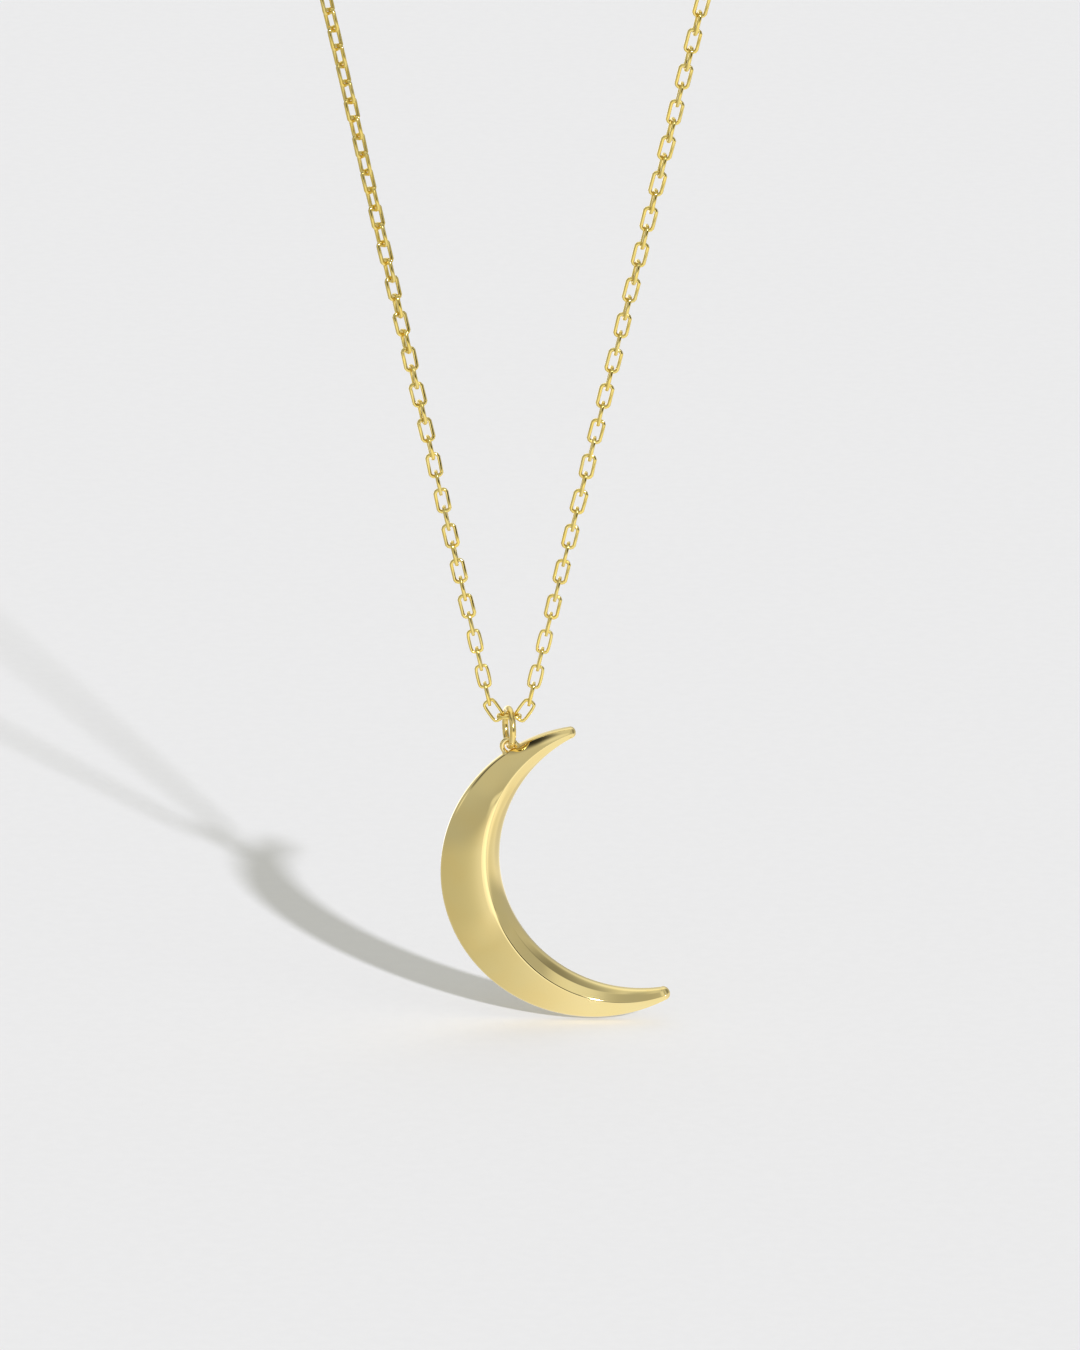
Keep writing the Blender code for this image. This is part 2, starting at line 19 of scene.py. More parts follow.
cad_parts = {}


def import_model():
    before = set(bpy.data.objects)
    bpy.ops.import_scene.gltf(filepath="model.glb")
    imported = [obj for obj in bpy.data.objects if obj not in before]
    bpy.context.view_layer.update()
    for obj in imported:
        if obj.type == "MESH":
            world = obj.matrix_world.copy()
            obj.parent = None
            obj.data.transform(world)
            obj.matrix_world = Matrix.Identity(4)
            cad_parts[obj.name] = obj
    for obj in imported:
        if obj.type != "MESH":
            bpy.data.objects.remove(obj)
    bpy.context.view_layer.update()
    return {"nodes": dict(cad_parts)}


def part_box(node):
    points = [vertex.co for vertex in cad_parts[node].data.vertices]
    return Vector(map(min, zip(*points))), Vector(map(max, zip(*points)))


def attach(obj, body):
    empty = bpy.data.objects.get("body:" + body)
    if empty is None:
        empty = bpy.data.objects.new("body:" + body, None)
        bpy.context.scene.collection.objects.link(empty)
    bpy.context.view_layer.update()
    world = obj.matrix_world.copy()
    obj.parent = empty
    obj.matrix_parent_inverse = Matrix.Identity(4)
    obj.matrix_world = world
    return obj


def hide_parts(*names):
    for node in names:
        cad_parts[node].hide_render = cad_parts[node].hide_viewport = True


LOG = logging.getLogger("pendant_necklace")

MM = 0.001
X_AXIS = Vector((1.0, 0.0, 0.0))
Y_AXIS = Vector((0.0, 1.0, 0.0))
Z_AXIS = Vector((0.0, 0.0, 1.0))

QUARTER = math.pi / 2.0
HAIR = 1e-4 * MM
MERGE = 0.0005 * MM

Piece = bpy.types.Object
Socket = bpy.types.NodeSocket
Colour = tuple[float, float, float]
PointTest = Callable[[Vector], bool]


# ---------------------------------------------------------------- bench tools


class Side(Enum):
    """The two halves of the necklace, as the viewer sees them."""

    LEFT = "left"
    RIGHT = "right"

    @property
    def sign(self) -> int:
        """-1 on the left and 1 on the right."""
        return -1 if self is Side.LEFT else 1

    def mirror(self, point: Vector) -> Vector:
        """The same point on this side of the middle plane."""
        return Vector((point.x * self.sign, point.y, point.z))


class Ends(Enum):
    """How a spun wire ends."""

    CAPPED = "capped"
    OPEN = "open"


def soft_step(share: float) -> float:
    """A soft step from 0 to 1 as the share goes from 0 to 1, and level outside that."""
    share = min(max(share, 0.0), 1.0)
    return share * share * (3.0 - 2.0 * share)


def deselect_everything() -> None:
    """Leaves object mode's selection empty, so that an operator acts on one piece."""
    if bpy.context.mode != "OBJECT":
        bpy.ops.object.mode_set(mode="OBJECT")
    bpy.ops.object.select_all(action="DESELECT")


def take(piece: Piece) -> None:
    """Makes a piece the only selected and active one.

    Args:
        piece: The piece to work on.
    """
    deselect_everything()
    piece.select_set(True)
    bpy.context.view_layer.objects.active = piece


def named(name: str) -> Piece:
    """Names the piece that an operator has just added.

    Args:
        name: The piece's name.

    Returns:
        The active object.
    """
    piece = bpy.context.object
    piece.name = name
    piece.data.name = name
    return piece


def edit(piece: Piece, mode: str = "VERT") -> None:
    """Opens a piece in edit mode with nothing selected.

    Args:
        piece: The piece to edit.
        mode: What is selected by, "VERT", "EDGE" or "FACE".
    """
    take(piece)
    bpy.ops.object.mode_set(mode="EDIT")
    bpy.ops.mesh.select_mode(type=mode)
    bpy.ops.mesh.select_all(action="DESELECT")


def leave_edit() -> None:
    """Goes back to object mode."""
    bpy.ops.object.mode_set(mode="OBJECT")


def pick(piece: Piece, test: PointTest, kind: str = "verts") -> None:
    """Selects what stands at a chosen place, in edit mode.

    Args:
        piece: The piece in edit mode.
        test: Says whether a point belongs to the selection.
        kind: "verts" or "edges". An edge goes by its middle.
    """
    bpy.ops.mesh.select_all(action="DESELECT")
    work = bmesh.from_edit_mesh(piece.data)
    for item in getattr(work, kind):
        spot = item.co if kind == "verts" else (item.verts[0].co + item.verts[1].co) / 2.0
        if test(spot):
            item.select_set(True)
    work.select_flush_mode()
    bmesh.update_edit_mesh(piece.data)


def move_picked(shift: Vector) -> None:
    """Moves the selection in edit mode."""
    bpy.ops.transform.translate(value=shift)


def close_up(piece: Piece) -> None:
    """Merges doubled points and points every face outwards.

    Args:
        piece: The piece to close.
    """
    edit(piece)
    bpy.ops.mesh.select_all(action="SELECT")
    bpy.ops.mesh.remove_doubles(threshold=MERGE)
    bpy.ops.mesh.normals_make_consistent(inside=False)
    leave_edit()


def place(piece: Piece, matrix: Matrix) -> None:
    """Puts a piece in its place in the mesh, with its object at the origin.

    Args:
        piece: The piece to place.
        matrix: Where it goes, from where it stands.
    """
    piece.data.transform(piece.matrix_basis)
    piece.matrix_basis = Matrix.Identity(4)
    piece.data.transform(matrix)
    if matrix.determinant() < 0.0:
        piece.data.flip_normals()


def apply_modifier(piece: Piece, kind: str, **settings: object) -> None:
    """Adds one modifier and applies it.

    Args:
        piece: The piece to change.
        kind: The modifier's type.
        settings: Values for the modifier's properties.
    """
    take(piece)
    modifier = piece.modifiers.new(kind.lower(), kind)
    for name, value in settings.items():
        setattr(modifier, name, value)
    bpy.ops.object.modifier_apply(modifier=modifier.name)


def cut(piece: Piece, cutter: Piece, operation: str) -> None:
    """Cuts or joins a piece by an exact Boolean and removes the cutter."""
    apply_modifier(piece, "BOOLEAN", operation=operation, solver="EXACT", object=cutter)
    bpy.data.objects.remove(cutter, do_unlink=True)


def ease(piece: Piece, width: float, segments: int, angle: float = 60.0) -> None:
    """Rounds the edges of a piece that are sharper than an angle.

    Args:
        piece: The piece to ease.
        width: The rounding's width.
        segments: How many faces it has across.
        angle: The least angle, in degrees.
    """
    limit = math.radians(angle)
    apply_modifier(
        piece, "BEVEL", width=width, segments=segments, limit_method="ANGLE", angle_limit=limit
    )


def smooth(piece: Piece, angle: float = math.radians(50.0)) -> None:
    """Smooth shading that keeps edges sharper than the angle."""
    take(piece)
    bpy.ops.object.shade_smooth_by_angle(angle=angle)


def join(name: str, parts: Iterable[Piece]) -> Piece:
    """Joins several objects into one piece.

    Args:
        name: The piece's name.
        parts: The objects, the first of which stays.

    Returns:
        The joined piece.
    """
    members = list(parts)
    deselect_everything()
    for member in members:
        member.select_set(True)
    bpy.context.view_layer.objects.active = members[0]
    if len(members) > 1:
        bpy.ops.object.join()
    return named(name)


def copy_of(model: Piece, name: str, matrix: Matrix) -> Piece:
    """A copy with its own mesh, put in its place.

    Args:
        model: The piece that is modelled once.
        name: The copy's name.
        matrix: Where the copy goes, in the model's own axes.

    Returns:
        The copy.
    """
    take(model)
    bpy.ops.object.duplicate(linked=False)
    twin = named(name)
    place(twin, matrix)
    return twin


def frame_matrix(origin: Vector, first: Vector, second: Vector) -> Matrix:
    """A matrix with its origin and two of its axes set.

    Args:
        origin: Where its origin is.
        first: The way its X axis points.
        second: The way its Y axis points, as far as X lets it.

    Returns:
        The matrix.
    """
    x = first.normalized()
    z = x.cross(second).normalized()
    y = z.cross(x)
    turn = Matrix((x, y, z)).transposed().to_4x4()
    return Matrix.Translation(origin) @ turn


def keep_outline(piece: Piece) -> None:
    """Deletes a flat piece's face and keeps its edges.

    Args:
        piece: The flat piece.
    """
    edit(piece)
    bpy.ops.mesh.select_all(action="SELECT")
    bpy.ops.mesh.delete(type="ONLY_FACE")
    leave_edit()


def spin(piece: Piece, steps: int, sweep: float) -> None:
    """Spins an outline about local Z, in place.

    Args:
        piece: The outline.
        steps: How many steps the spin has.
        sweep: The angle that it covers.
    """
    edit(piece)
    bpy.ops.mesh.select_all(action="SELECT")
    bpy.ops.mesh.spin(steps=steps, angle=sweep, center=(0.0, 0.0, 0.0), axis=(0.0, 0.0, 1.0))
    leave_edit()


def face_middle(piece: Piece, angle: float) -> None:
    """Turns a bent piece about local Z until its middle lies at an angle.

    Args:
        piece: The bent piece.
        angle: Where its middle goes, from local X towards local Y.
    """
    middle = sum((v.co for v in piece.data.vertices), Vector())
    place(piece, Matrix.Rotation(angle - math.atan2(middle.y, middle.x), 4, "Z"))


def spun_wire(
    name: str,
    wire: float,
    radius: float,
    start: float,
    sweep: float,
    steps: int,
    sides: int = 16,
    ends: Ends = Ends.CAPPED,
) -> Piece:
    """A round wire bent about local Z, from a circle and the spin operator.

    Args:
        name: The piece's name.
        wire: The wire's diameter.
        radius: The bend's radius, to the wire's middle.
        start: The angle at which the wire starts, from local X towards local Y.
        sweep: The angle that the wire covers.
        steps: How many steps the bend has.
        sides: How many sides the wire has.
        ends: Whether the wire's ends are capped or stay open.

    Returns:
        The bent wire, in the local XY plane.
    """
    deselect_everything()
    bpy.ops.mesh.primitive_circle_add(
        vertices=sides,
        radius=wire / 2.0,
        location=(radius, 0.0, 0.0),
        rotation=(QUARTER, 0.0, 0.0),
    )
    piece = named(name)
    place(piece, Matrix.Identity(4))
    spin(piece, steps, sweep)
    face_middle(piece, start + sweep / 2.0)
    if ends is Ends.CAPPED:
        cap(piece)
    close_up(piece)
    return piece


def cap(piece: Piece) -> None:
    """Fills a wire's open ends with flat faces.

    Args:
        piece: The wire.
    """
    edit(piece, "EDGE")
    bpy.ops.mesh.select_all(action="SELECT")
    bpy.ops.mesh.fill_holes(sides=0)
    leave_edit()


# ------------------------------------------------------------------- finishes


class NodeBoard:
    """Adds and links the nodes of one material."""

    PATTERN_LOW = 0.35
    PATTERN_HIGH = 0.65

    def __init__(self, material: bpy.types.Material) -> None:
        """Opens the material's node tree.

        Args:
            material: The material to build.
        """
        material.use_nodes = True
        self.tree = material.node_tree
        self.shader = self.tree.nodes["Principled BSDF"]

    def add(self, kind: str, **settings: object) -> bpy.types.Node:
        """Adds a node.

        Args:
            kind: The node's type, such as "ShaderNodeTexNoise".
            settings: Values for its properties.

        Returns:
            The new node.
        """
        node = self.tree.nodes.new(kind)
        for name, value in settings.items():
            setattr(node, name, value)
        return node

    def link(self, source: Socket, target: Socket) -> None:
        """Links two sockets."""
        self.tree.links.new(source, target)

    def noise(
        self,
        place_at: Socket,
        scale: float,
        detail: float = 3.0,
        stretch: Colour = (1.0, 1.0, 1.0),
    ) -> Socket:
        """A noise pattern.

        Args:
            place_at: The coordinates it reads.
            scale: How many lumps there are in a metre.
            detail: How many octaves it has.
            stretch: A share of the scale along each axis.

        Returns:
            The pattern's value, about 0.5 in the middle.
        """
        mapping = self.add("ShaderNodeMapping")
        mapping.inputs["Scale"].default_value = stretch
        self.link(place_at, mapping.inputs["Vector"])
        texture = self.add("ShaderNodeTexNoise", noise_dimensions="3D")
        texture.inputs["Scale"].default_value = scale
        texture.inputs["Detail"].default_value = detail
        self.link(mapping.outputs["Vector"], texture.inputs["Vector"])
        return texture.outputs["Fac"]

    def spread(self, value: Socket, low: float, high: float) -> Socket:
        """Maps a pattern's middle range onto low to high.

        Args:
            value: The pattern.
            low: The result at the bottom of the range.
            high: The result at its top.

        Returns:
            The mapped value.
        """
        node = self.add("ShaderNodeMapRange")
        node.inputs["From Min"].default_value = self.PATTERN_LOW
        node.inputs["From Max"].default_value = self.PATTERN_HIGH
        node.inputs["To Min"].default_value = low
        node.inputs["To Max"].default_value = high
        self.link(value, node.inputs["Value"])
        return node.outputs["Result"]

    def blend_tones(self, share: Socket, first: Colour, second: Colour) -> Socket:
        """Mixes two colours by a pattern.

        Args:
            share: 0 for the first colour and 1 for the second.
            first: The first colour.
            second: The second colour.

        Returns:
            The mixed colour.
        """
        mix = self.add("ShaderNodeMix", data_type="RGBA")
        sockets = {socket.identifier: socket for socket in mix.inputs}
        sockets["A_Color"].default_value = (*first, 1.0)
        sockets["B_Color"].default_value = (*second, 1.0)
        self.link(share, sockets["Factor_Float"])
        return {socket.identifier: socket for socket in mix.outputs}["Result_Color"]


@dataclass(frozen=True)
class Metal:
    """A plated or drawn metal with the marks that its making leaves.

    The tone drifts in soft patches, polishing leaves fine hairlines along one way,
    and the surface rolls very slightly under the plating.
    """

    name: str
    tone: Colour
    worn_tone: Colour
    patch_scale: float
    gloss: tuple[float, float]
    hairline_scale: float
    hairline_depth: float
    hairline_run: Colour
    roll_scale: float
    roll_depth: float

    def make(self) -> bpy.types.Material:
        """Builds the material.

        Returns:
            The new material.
        """
        material = bpy.data.materials.new(self.name)
        board = NodeBoard(material)
        where = board.add("ShaderNodeTexCoord").outputs["Object"]
        patches = board.noise(where, self.patch_scale, 2.0)
        worn = board.spread(patches, 0.0, 1.0)
        tone = board.blend_tones(worn, self.tone, self.worn_tone)
        board.link(tone, board.shader.inputs["Base Color"])
        hairlines = board.noise(where, self.hairline_scale, 4.0, self.hairline_run)
        gloss = board.spread(hairlines, *self.gloss)
        board.link(gloss, board.shader.inputs["Roughness"])
        roll = board.noise(where, self.roll_scale, 1.0)
        fine = self.relief(board, hairlines, self.hairline_depth)
        broad = self.relief(board, roll, self.roll_depth, fine)
        board.link(broad, board.shader.inputs["Normal"])
        board.shader.inputs["Metallic"].default_value = 1.0
        board.shader.inputs["Specular IOR Level"].default_value = 0.5
        return material

    def relief(
        self,
        board: NodeBoard,
        height: Socket,
        depth: float,
        over: Socket | None = None,
    ) -> Socket:
        """Adds a bump.

        Args:
            board: The material's nodes.
            height: The pattern.
            depth: How deep it goes, in metres.
            over: A finer bump that this one carries.

        Returns:
            The bump's normal.
        """
        bump = board.add("ShaderNodeBump")
        bump.inputs["Strength"].default_value = 1.0
        bump.inputs["Distance"].default_value = depth
        board.link(height, bump.inputs["Height"])
        if over is not None:
            board.link(over, bump.inputs["Normal"])
        return bump.outputs["Normal"]


CRESCENT_GOLD = Metal(
    "crescent_gold",
    tone=(0.91, 0.735, 0.335),
    worn_tone=(0.90, 0.75, 0.365),
    patch_scale=260.0,
    gloss=(0.03, 0.06),
    hairline_scale=5200.0,
    hairline_depth=0.0004 * MM,
    hairline_run=(0.25, 1.0, 0.12),
    roll_scale=420.0,
    roll_depth=0.004 * MM,
)
RING_GOLD = Metal(
    "ring_gold",
    tone=(0.90, 0.69, 0.24),
    worn_tone=(0.84, 0.68, 0.30),
    patch_scale=900.0,
    gloss=(0.08, 0.16),
    hairline_scale=9000.0,
    hairline_depth=0.0006 * MM,
    hairline_run=(1.0, 0.3, 0.3),
    roll_scale=1800.0,
    roll_depth=0.003 * MM,
)
CHAIN_GOLD = Metal(
    "chain_gold",
    tone=(0.87, 0.67, 0.19),
    worn_tone=(0.80, 0.65, 0.24),
    patch_scale=1100.0,
    gloss=(0.06, 0.13),
    hairline_scale=12000.0,
    hairline_depth=0.0008 * MM,
    hairline_run=(0.6, 0.6, 0.25),
    roll_scale=3200.0,
    roll_depth=0.003 * MM,
)
EXTENSION_GOLD = Metal(
    "extension_gold",
    tone=(0.89, 0.68, 0.23),
    worn_tone=(0.82, 0.66, 0.28),
    patch_scale=700.0,
    gloss=(0.09, 0.18),
    hairline_scale=9000.0,
    hairline_depth=0.0008 * MM,
    hairline_run=(0.6, 0.6, 0.2),
    roll_scale=1500.0,
    roll_depth=0.004 * MM,
)
CLASP_GOLD = Metal(
    "clasp_gold",
    tone=(0.89, 0.70, 0.27),
    worn_tone=(0.83, 0.68, 0.33),
    patch_scale=800.0,
    gloss=(0.08, 0.17),
    hairline_scale=8000.0,
    hairline_depth=0.0008 * MM,
    hairline_run=(0.3, 1.0, 0.3),
    roll_scale=1300.0,
    roll_depth=0.004 * MM,
)
BOLT_GOLD = Metal(
    "bolt_gold",
    tone=(0.86, 0.69, 0.32),
    worn_tone=(0.76, 0.67, 0.45),
    patch_scale=1900.0,
    gloss=(0.14, 0.30),
    hairline_scale=9000.0,
    hairline_depth=0.0015 * MM,
    hairline_run=(0.2, 1.0, 0.2),
    roll_scale=1600.0,
    roll_depth=0.002 * MM,
)
SPRING_STEEL = Metal(
    "clasp_steel",
    tone=(0.62, 0.61, 0.58),
    worn_tone=(0.50, 0.49, 0.47),
    patch_scale=2500.0,
    gloss=(0.22, 0.38),
    hairline_scale=16000.0,
    hairline_depth=0.0015 * MM,
    hairline_run=(0.3, 1.0, 1.0),
    roll_scale=4000.0,
    roll_depth=0.001 * MM,
)


@dataclass(frozen=True)
class StudioPaper:
    """Pale matt paper for the floor."""

    name: str = "studio_paper"
    tone: Colour = (0.80, 0.80, 0.80)
    fibre_tone: Colour = (0.79, 0.79, 0.79)
    fibre_scale: float = 900.0

    def make(self) -> bpy.types.Material:
        """Builds the material.

        Returns:
            The new material.
        """
        material = bpy.data.materials.new(self.name)
        board = NodeBoard(material)
        where = board.add("ShaderNodeTexCoord").outputs["Object"]
        fibres = board.spread(board.noise(where, self.fibre_scale, 3.0), 0.0, 1.0)
        tone = board.blend_tones(fibres, self.tone, self.fibre_tone)
        board.link(tone, board.shader.inputs["Base Color"])
        board.shader.inputs["Roughness"].default_value = 1.0
        board.shader.inputs["Specular IOR Level"].default_value = 0.0
        return material


class Finishes:
    """Every material of the model, each made once."""

    def __init__(self) -> None:
        """Builds the metals."""
        metals = (
            CRESCENT_GOLD,
            RING_GOLD,
            CHAIN_GOLD,
            EXTENSION_GOLD,
            CLASP_GOLD,
            BOLT_GOLD,
            SPRING_STEEL,
        )
        self.by_slot = {metal.name: metal.make() for metal in metals}

    def dress(self, piece: Piece, slot: str) -> None:
        """Gives a piece its metal and says which of the record's slots it is.

        Args:
            piece: The piece to dress.
            slot: The slot, which is also the metal's name.
        """
        piece.data.materials.clear()
        piece.data.materials.append(self.by_slot[slot])


# --------------------------------------------------------------------- stage


@dataclass(frozen=True)
class LightPatch:
    """A soft round patch of the surroundings, brighter or darker than what is round it.

    The azimuth is in degrees from the front towards the right, the elevation in degrees
    above the horizon and the spread is its radius in degrees.
    """

    azimuth: float
    elevation: float
    spread: float
    strength: float

    def way(self) -> Vector:
        """The way towards the patch's middle."""
        turn, rise = math.radians(self.azimuth), math.radians(self.elevation)
        return way_towards(turn, rise)


def way_towards(azimuth: float, elevation: float) -> Vector:
    """A direction, from its turn from the front towards the right and its rise.

    Args:
        azimuth: The turn.
        elevation: The rise above the horizon.

    Returns:
        A vector one long.
    """
    return Vector(
        (
            math.sin(azimuth) * math.cos(elevation),
            -math.cos(azimuth) * math.cos(elevation),
            math.sin(elevation),
        )
    )


TABLE_TONES = (
    (0.05, (0.58, 0.56, 0.47)),
    (0.20, (0.64, 0.62, 0.52)),
    (0.35, (0.81, 0.79, 0.72)),
    (0.50, (1.06, 1.04, 1.02)),
    (0.82, (1.03, 1.00, 0.93)),
    (1.0, (0.74, 0.72, 0.66)),
)
WALL_LEVELS = ((0.0, (0.50,) * 3), (0.5, (0.60,) * 3), (1.0, (0.72,) * 3))
WALL_TONE = (1.0, 1.0, 0.94)
TABLE_PATCHES = (
    LightPatch(4.0, -14.0, 17.0, 0.35),
    LightPatch(52.0, -30.0, 28.0, 0.14),
    LightPatch(140.0, -30.0, 24.0, -0.26),
)
WALL_PATCHES = (
    LightPatch(46.0, 33.0, 18.0, 0.24),
    LightPatch(-46.0, 47.0, 15.0, -0.62),
    LightPatch(-22.0, 44.0, 11.0, 0.20),
    LightPatch(-94.0, 38.0, 25.0, -0.52),
    LightPatch(98.0, 46.0, 38.0, -0.36),
    LightPatch(-91.0, 14.0, 9.0, 0.35),
    LightPatch(180.0, 56.0, 46.0, 0.37),
    LightPatch(8.0, 42.0, 18.0, -0.18),
    LightPatch(16.0, 62.0, 13.0, -0.24),
)
HORIZON_PATCHES = (
    LightPatch(-168.0, -3.0, 25.0, 0.85),
    LightPatch(27.0, 4.0, 22.0, -0.40),
    LightPatch(36.0, -1.0, 13.0, -0.42),
    LightPatch(-9.0, 1.0, 10.0, 0.35),
)
HORIZON_TOP = -0.06
HORIZON_FOOT = -0.24


class SkyBoard:
    """Adds the nodes of the surroundings, which depend only on direction."""

    def __init__(self, world: bpy.types.World) -> None:
        """Opens the world's node tree.

        Args:
            world: The world to build.
        """
        world.use_nodes = True
        self.tree = world.node_tree
        self.background = self.tree.nodes["Background"]
        self.way = self.tree.nodes.new("ShaderNodeTexCoord").outputs["Generated"]
        split = self.tree.nodes.new("ShaderNodeSeparateXYZ")
        self.tree.links.new(self.way, split.inputs["Vector"])
        self.x, self.z = split.outputs["X"], split.outputs["Z"]

    def scale(self, value: Socket, times: float, plus: float) -> Socket:
        """Multiplies a value and adds to it.

        Args:
            value: The value.
            times: What it is multiplied by.
            plus: What is added.

        Returns:
            The new value.
        """
        node = self.tree.nodes.new("ShaderNodeMath")
        node.operation = "MULTIPLY_ADD"
        self.tree.links.new(value, node.inputs[0])
        node.inputs[1].default_value = times
        node.inputs[2].default_value = plus
        return node.outputs["Value"]

    def add(self, first: Socket, second: Socket) -> Socket:
        """Adds two lights.

        Args:
            first: One light.
            second: The other.

        Returns:
            Both together.
        """
        node = self.tree.nodes.new("ShaderNodeVectorMath")
        node.operation = "ADD"
        self.tree.links.new(first, node.inputs[0])
        self.tree.links.new(second, node.inputs[1])
        return node.outputs["Vector"]

    def smooth(self, value: Socket, start: float, end: float, top: float = 1.0) -> Socket:
        """A soft step of a value.

        Args:
            value: The value.
            start: Where the step is still 0.
            end: Where it has reached its top.
            top: How high it goes.

        Returns:
            The step.
        """
        node = self.tree.nodes.new("ShaderNodeMapRange")
        node.interpolation_type = "SMOOTHSTEP"
        node.inputs["From Min"].default_value = start
        node.inputs["From Max"].default_value = end
        node.inputs["To Max"].default_value = top
        self.tree.links.new(value, node.inputs["Value"])
        return node.outputs["Result"]

    def ramp(self, value: Socket, stops: tuple[tuple[float, Colour], ...]) -> Socket:
        """Light along a value, by its stops.

        Args:
            value: The value, from 0 to 1.
            stops: Each stop's place and colour.

        Returns:
            The light.
        """
        node = self.tree.nodes.new("ShaderNodeValToRGB")
        node.color_ramp.interpolation = "B_SPLINE" if len(stops) > 4 else "EASE"
        elements = node.color_ramp.elements
        while len(elements) < len(stops):
            elements.new(1.0)
        for element, (where, tone) in zip(elements, stops):
            element.position = where
            element.color = (*tone, 1.0)
        self.tree.links.new(value, node.inputs["Fac"])
        return node.outputs["Color"]

    def patch(self, patch: LightPatch) -> Socket:
        """One soft round patch.

        Args:
            patch: Where it is and how much it adds in its middle.

        Returns:
            The patch's brightness.
        """
        node = self.tree.nodes.new("ShaderNodeVectorMath")
        node.operation = "DOT_PRODUCT"
        node.inputs[1].default_value = patch.way()
        self.tree.links.new(self.way, node.inputs[0])
        edge = math.cos(math.radians(patch.spread))
        return self.smooth(node.outputs["Value"], edge, 1.0, patch.strength)

    def tint(self, level: Socket, tone: Colour) -> Socket:
        """Gives a brightness a tone.

        Args:
            level: The brightness.
            tone: The tone.

        Returns:
            The toned light.
        """
        node = self.tree.nodes.new("ShaderNodeVectorMath")
        node.operation = "MULTIPLY"
        self.tree.links.new(level, node.inputs[0])
        node.inputs[1].default_value = tone
        return node.outputs["Vector"]

    def finish(self, share: Socket, above: Socket, below: Socket) -> None:
        """Lights the scene with one colour above and another below.

        Args:
            share: 0 above the horizon and 1 below it.
            above: The colour above.
            below: The colour below.
        """
        mix = self.tree.nodes.new("ShaderNodeMix")
        mix.data_type = "VECTOR"
        sockets = {socket.identifier: socket for socket in mix.inputs}
        self.tree.links.new(share, sockets["Factor_Float"])
        self.tree.links.new(above, sockets["A_Vector"])
        self.tree.links.new(below, sockets["B_Vector"])
        result = {socket.identifier: socket for socket in mix.outputs}["Result_Vector"]
        self.tree.links.new(result, self.background.inputs["Color"])
        self.background.inputs["Strength"].default_value = 1.0


@dataclass
class Stage:
    """The floor, the light and the camera."""

    frame_height: float = 108.0 * MM
    elevation: float = math.radians(15.8)
    roll: float = math.radians(0.45)
    distance: float = 1.12
    sensor: float = 36.0
    aim_right: float = 2.44 * MM
    aim_up: float = 4.2 * MM
    key_azimuth: float = math.radians(25.2)
    key_elevation: float = math.radians(23.6)
    key_spread: float = math.radians(2.6)
    key_strength: float = 3.71
    key_tone: Colour = (0.882, 0.882, 0.974)
    floor_gap: float = 0.15 * MM
    floor_reach: float = 6.0

    def set_camera(self) -> None:
        """A long lens at the set elevation, level but for a slight roll."""
        lens = self.sensor * self.distance / self.frame_height
        back = Vector((0.0, -math.cos(self.elevation), math.sin(self.elevation)))
        up = Vector((0.0, math.sin(self.elevation), math.cos(self.elevation)))
        ring_low, ring_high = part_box("bail_ring")
        target = (ring_low + ring_high) / 2.0 + X_AXIS * self.aim_right + up * self.aim_up
        data = bpy.data.cameras.new("camera")
        data.lens = lens
        data.sensor_width = self.sensor
        data.clip_start = 0.05
        data.clip_end = 20.0
        camera = bpy.data.objects.new("camera", data)
        bpy.context.scene.collection.objects.link(camera)
        turn = (-back).to_track_quat("-Z", "Y").to_matrix().to_4x4()
        spot = Matrix.Translation(target + back * self.distance)
        camera.matrix_world = spot @ turn @ Matrix.Rotation(self.roll, 4, "Z")
        bpy.context.scene.camera = camera

    def add_floor(self, lowest: float) -> None:
        """A wide pale floor just under the crescent.

        Args:
            lowest: The height of the lowest point of the model.
        """
        deselect_everything()
        bpy.ops.mesh.primitive_grid_add(
            x_subdivisions=8, y_subdivisions=8, size=2.0 * self.floor_reach
        )
        floor = named("floor")
        place(floor, Matrix.Translation((0.0, 0.0, lowest - self.floor_gap)))
        floor.data.materials.append(StudioPaper().make())
        floor.visible_glossy = False

    def add_key(self) -> None:
        """The key light, from the front right and low."""
        data = bpy.data.lights.new("key", "SUN")
        data.energy = self.key_strength
        data.color = self.key_tone
        data.angle = self.key_spread
        light = bpy.data.objects.new("key", data)
        bpy.context.scene.collection.objects.link(light)
        towards = way_towards(self.key_azimuth, self.key_elevation)
        light.rotation_mode = "QUATERNION"
        light.rotation_quaternion = (-towards).to_track_quat("-Z", "Y")

    def set_surroundings(self) -> None:
        """A soft studio: a bright table below, dimmer to the left, and pale grey walls.

        The table that the metal mirrors is part of this, so that it reaches as far as a
        real one does, and the floor only takes light and shadow.
        """
        world = bpy.data.worlds.new("studio")
        bpy.context.scene.world = world
        sky = SkyBoard(world)
        table = sky.ramp(sky.scale(sky.x, 0.5, 0.5), TABLE_TONES)
        walls = sky.ramp(sky.z, WALL_LEVELS)
        for patch in TABLE_PATCHES:
            table = sky.add(table, sky.patch(patch))
        for patch in WALL_PATCHES:
            walls = sky.add(walls, sky.patch(patch))
        for patch in HORIZON_PATCHES:
            glow = sky.patch(patch)
            table, walls = sky.add(table, glow), sky.add(walls, glow)
        below = sky.smooth(sky.z, HORIZON_TOP, HORIZON_FOOT)
        sky.finish(below, sky.tint(walls, WALL_TONE), table)

    def set_up(self, lowest: float) -> None:
        """Builds the whole stage.

        Args:
            lowest: The height of the lowest point of the model.
        """
        self.set_camera()
        self.add_floor(lowest)
        self.add_key()
        self.set_surroundings()
        bpy.context.scene.view_settings.view_transform = "Standard"


# ------------------------------------------------------------------ the chain


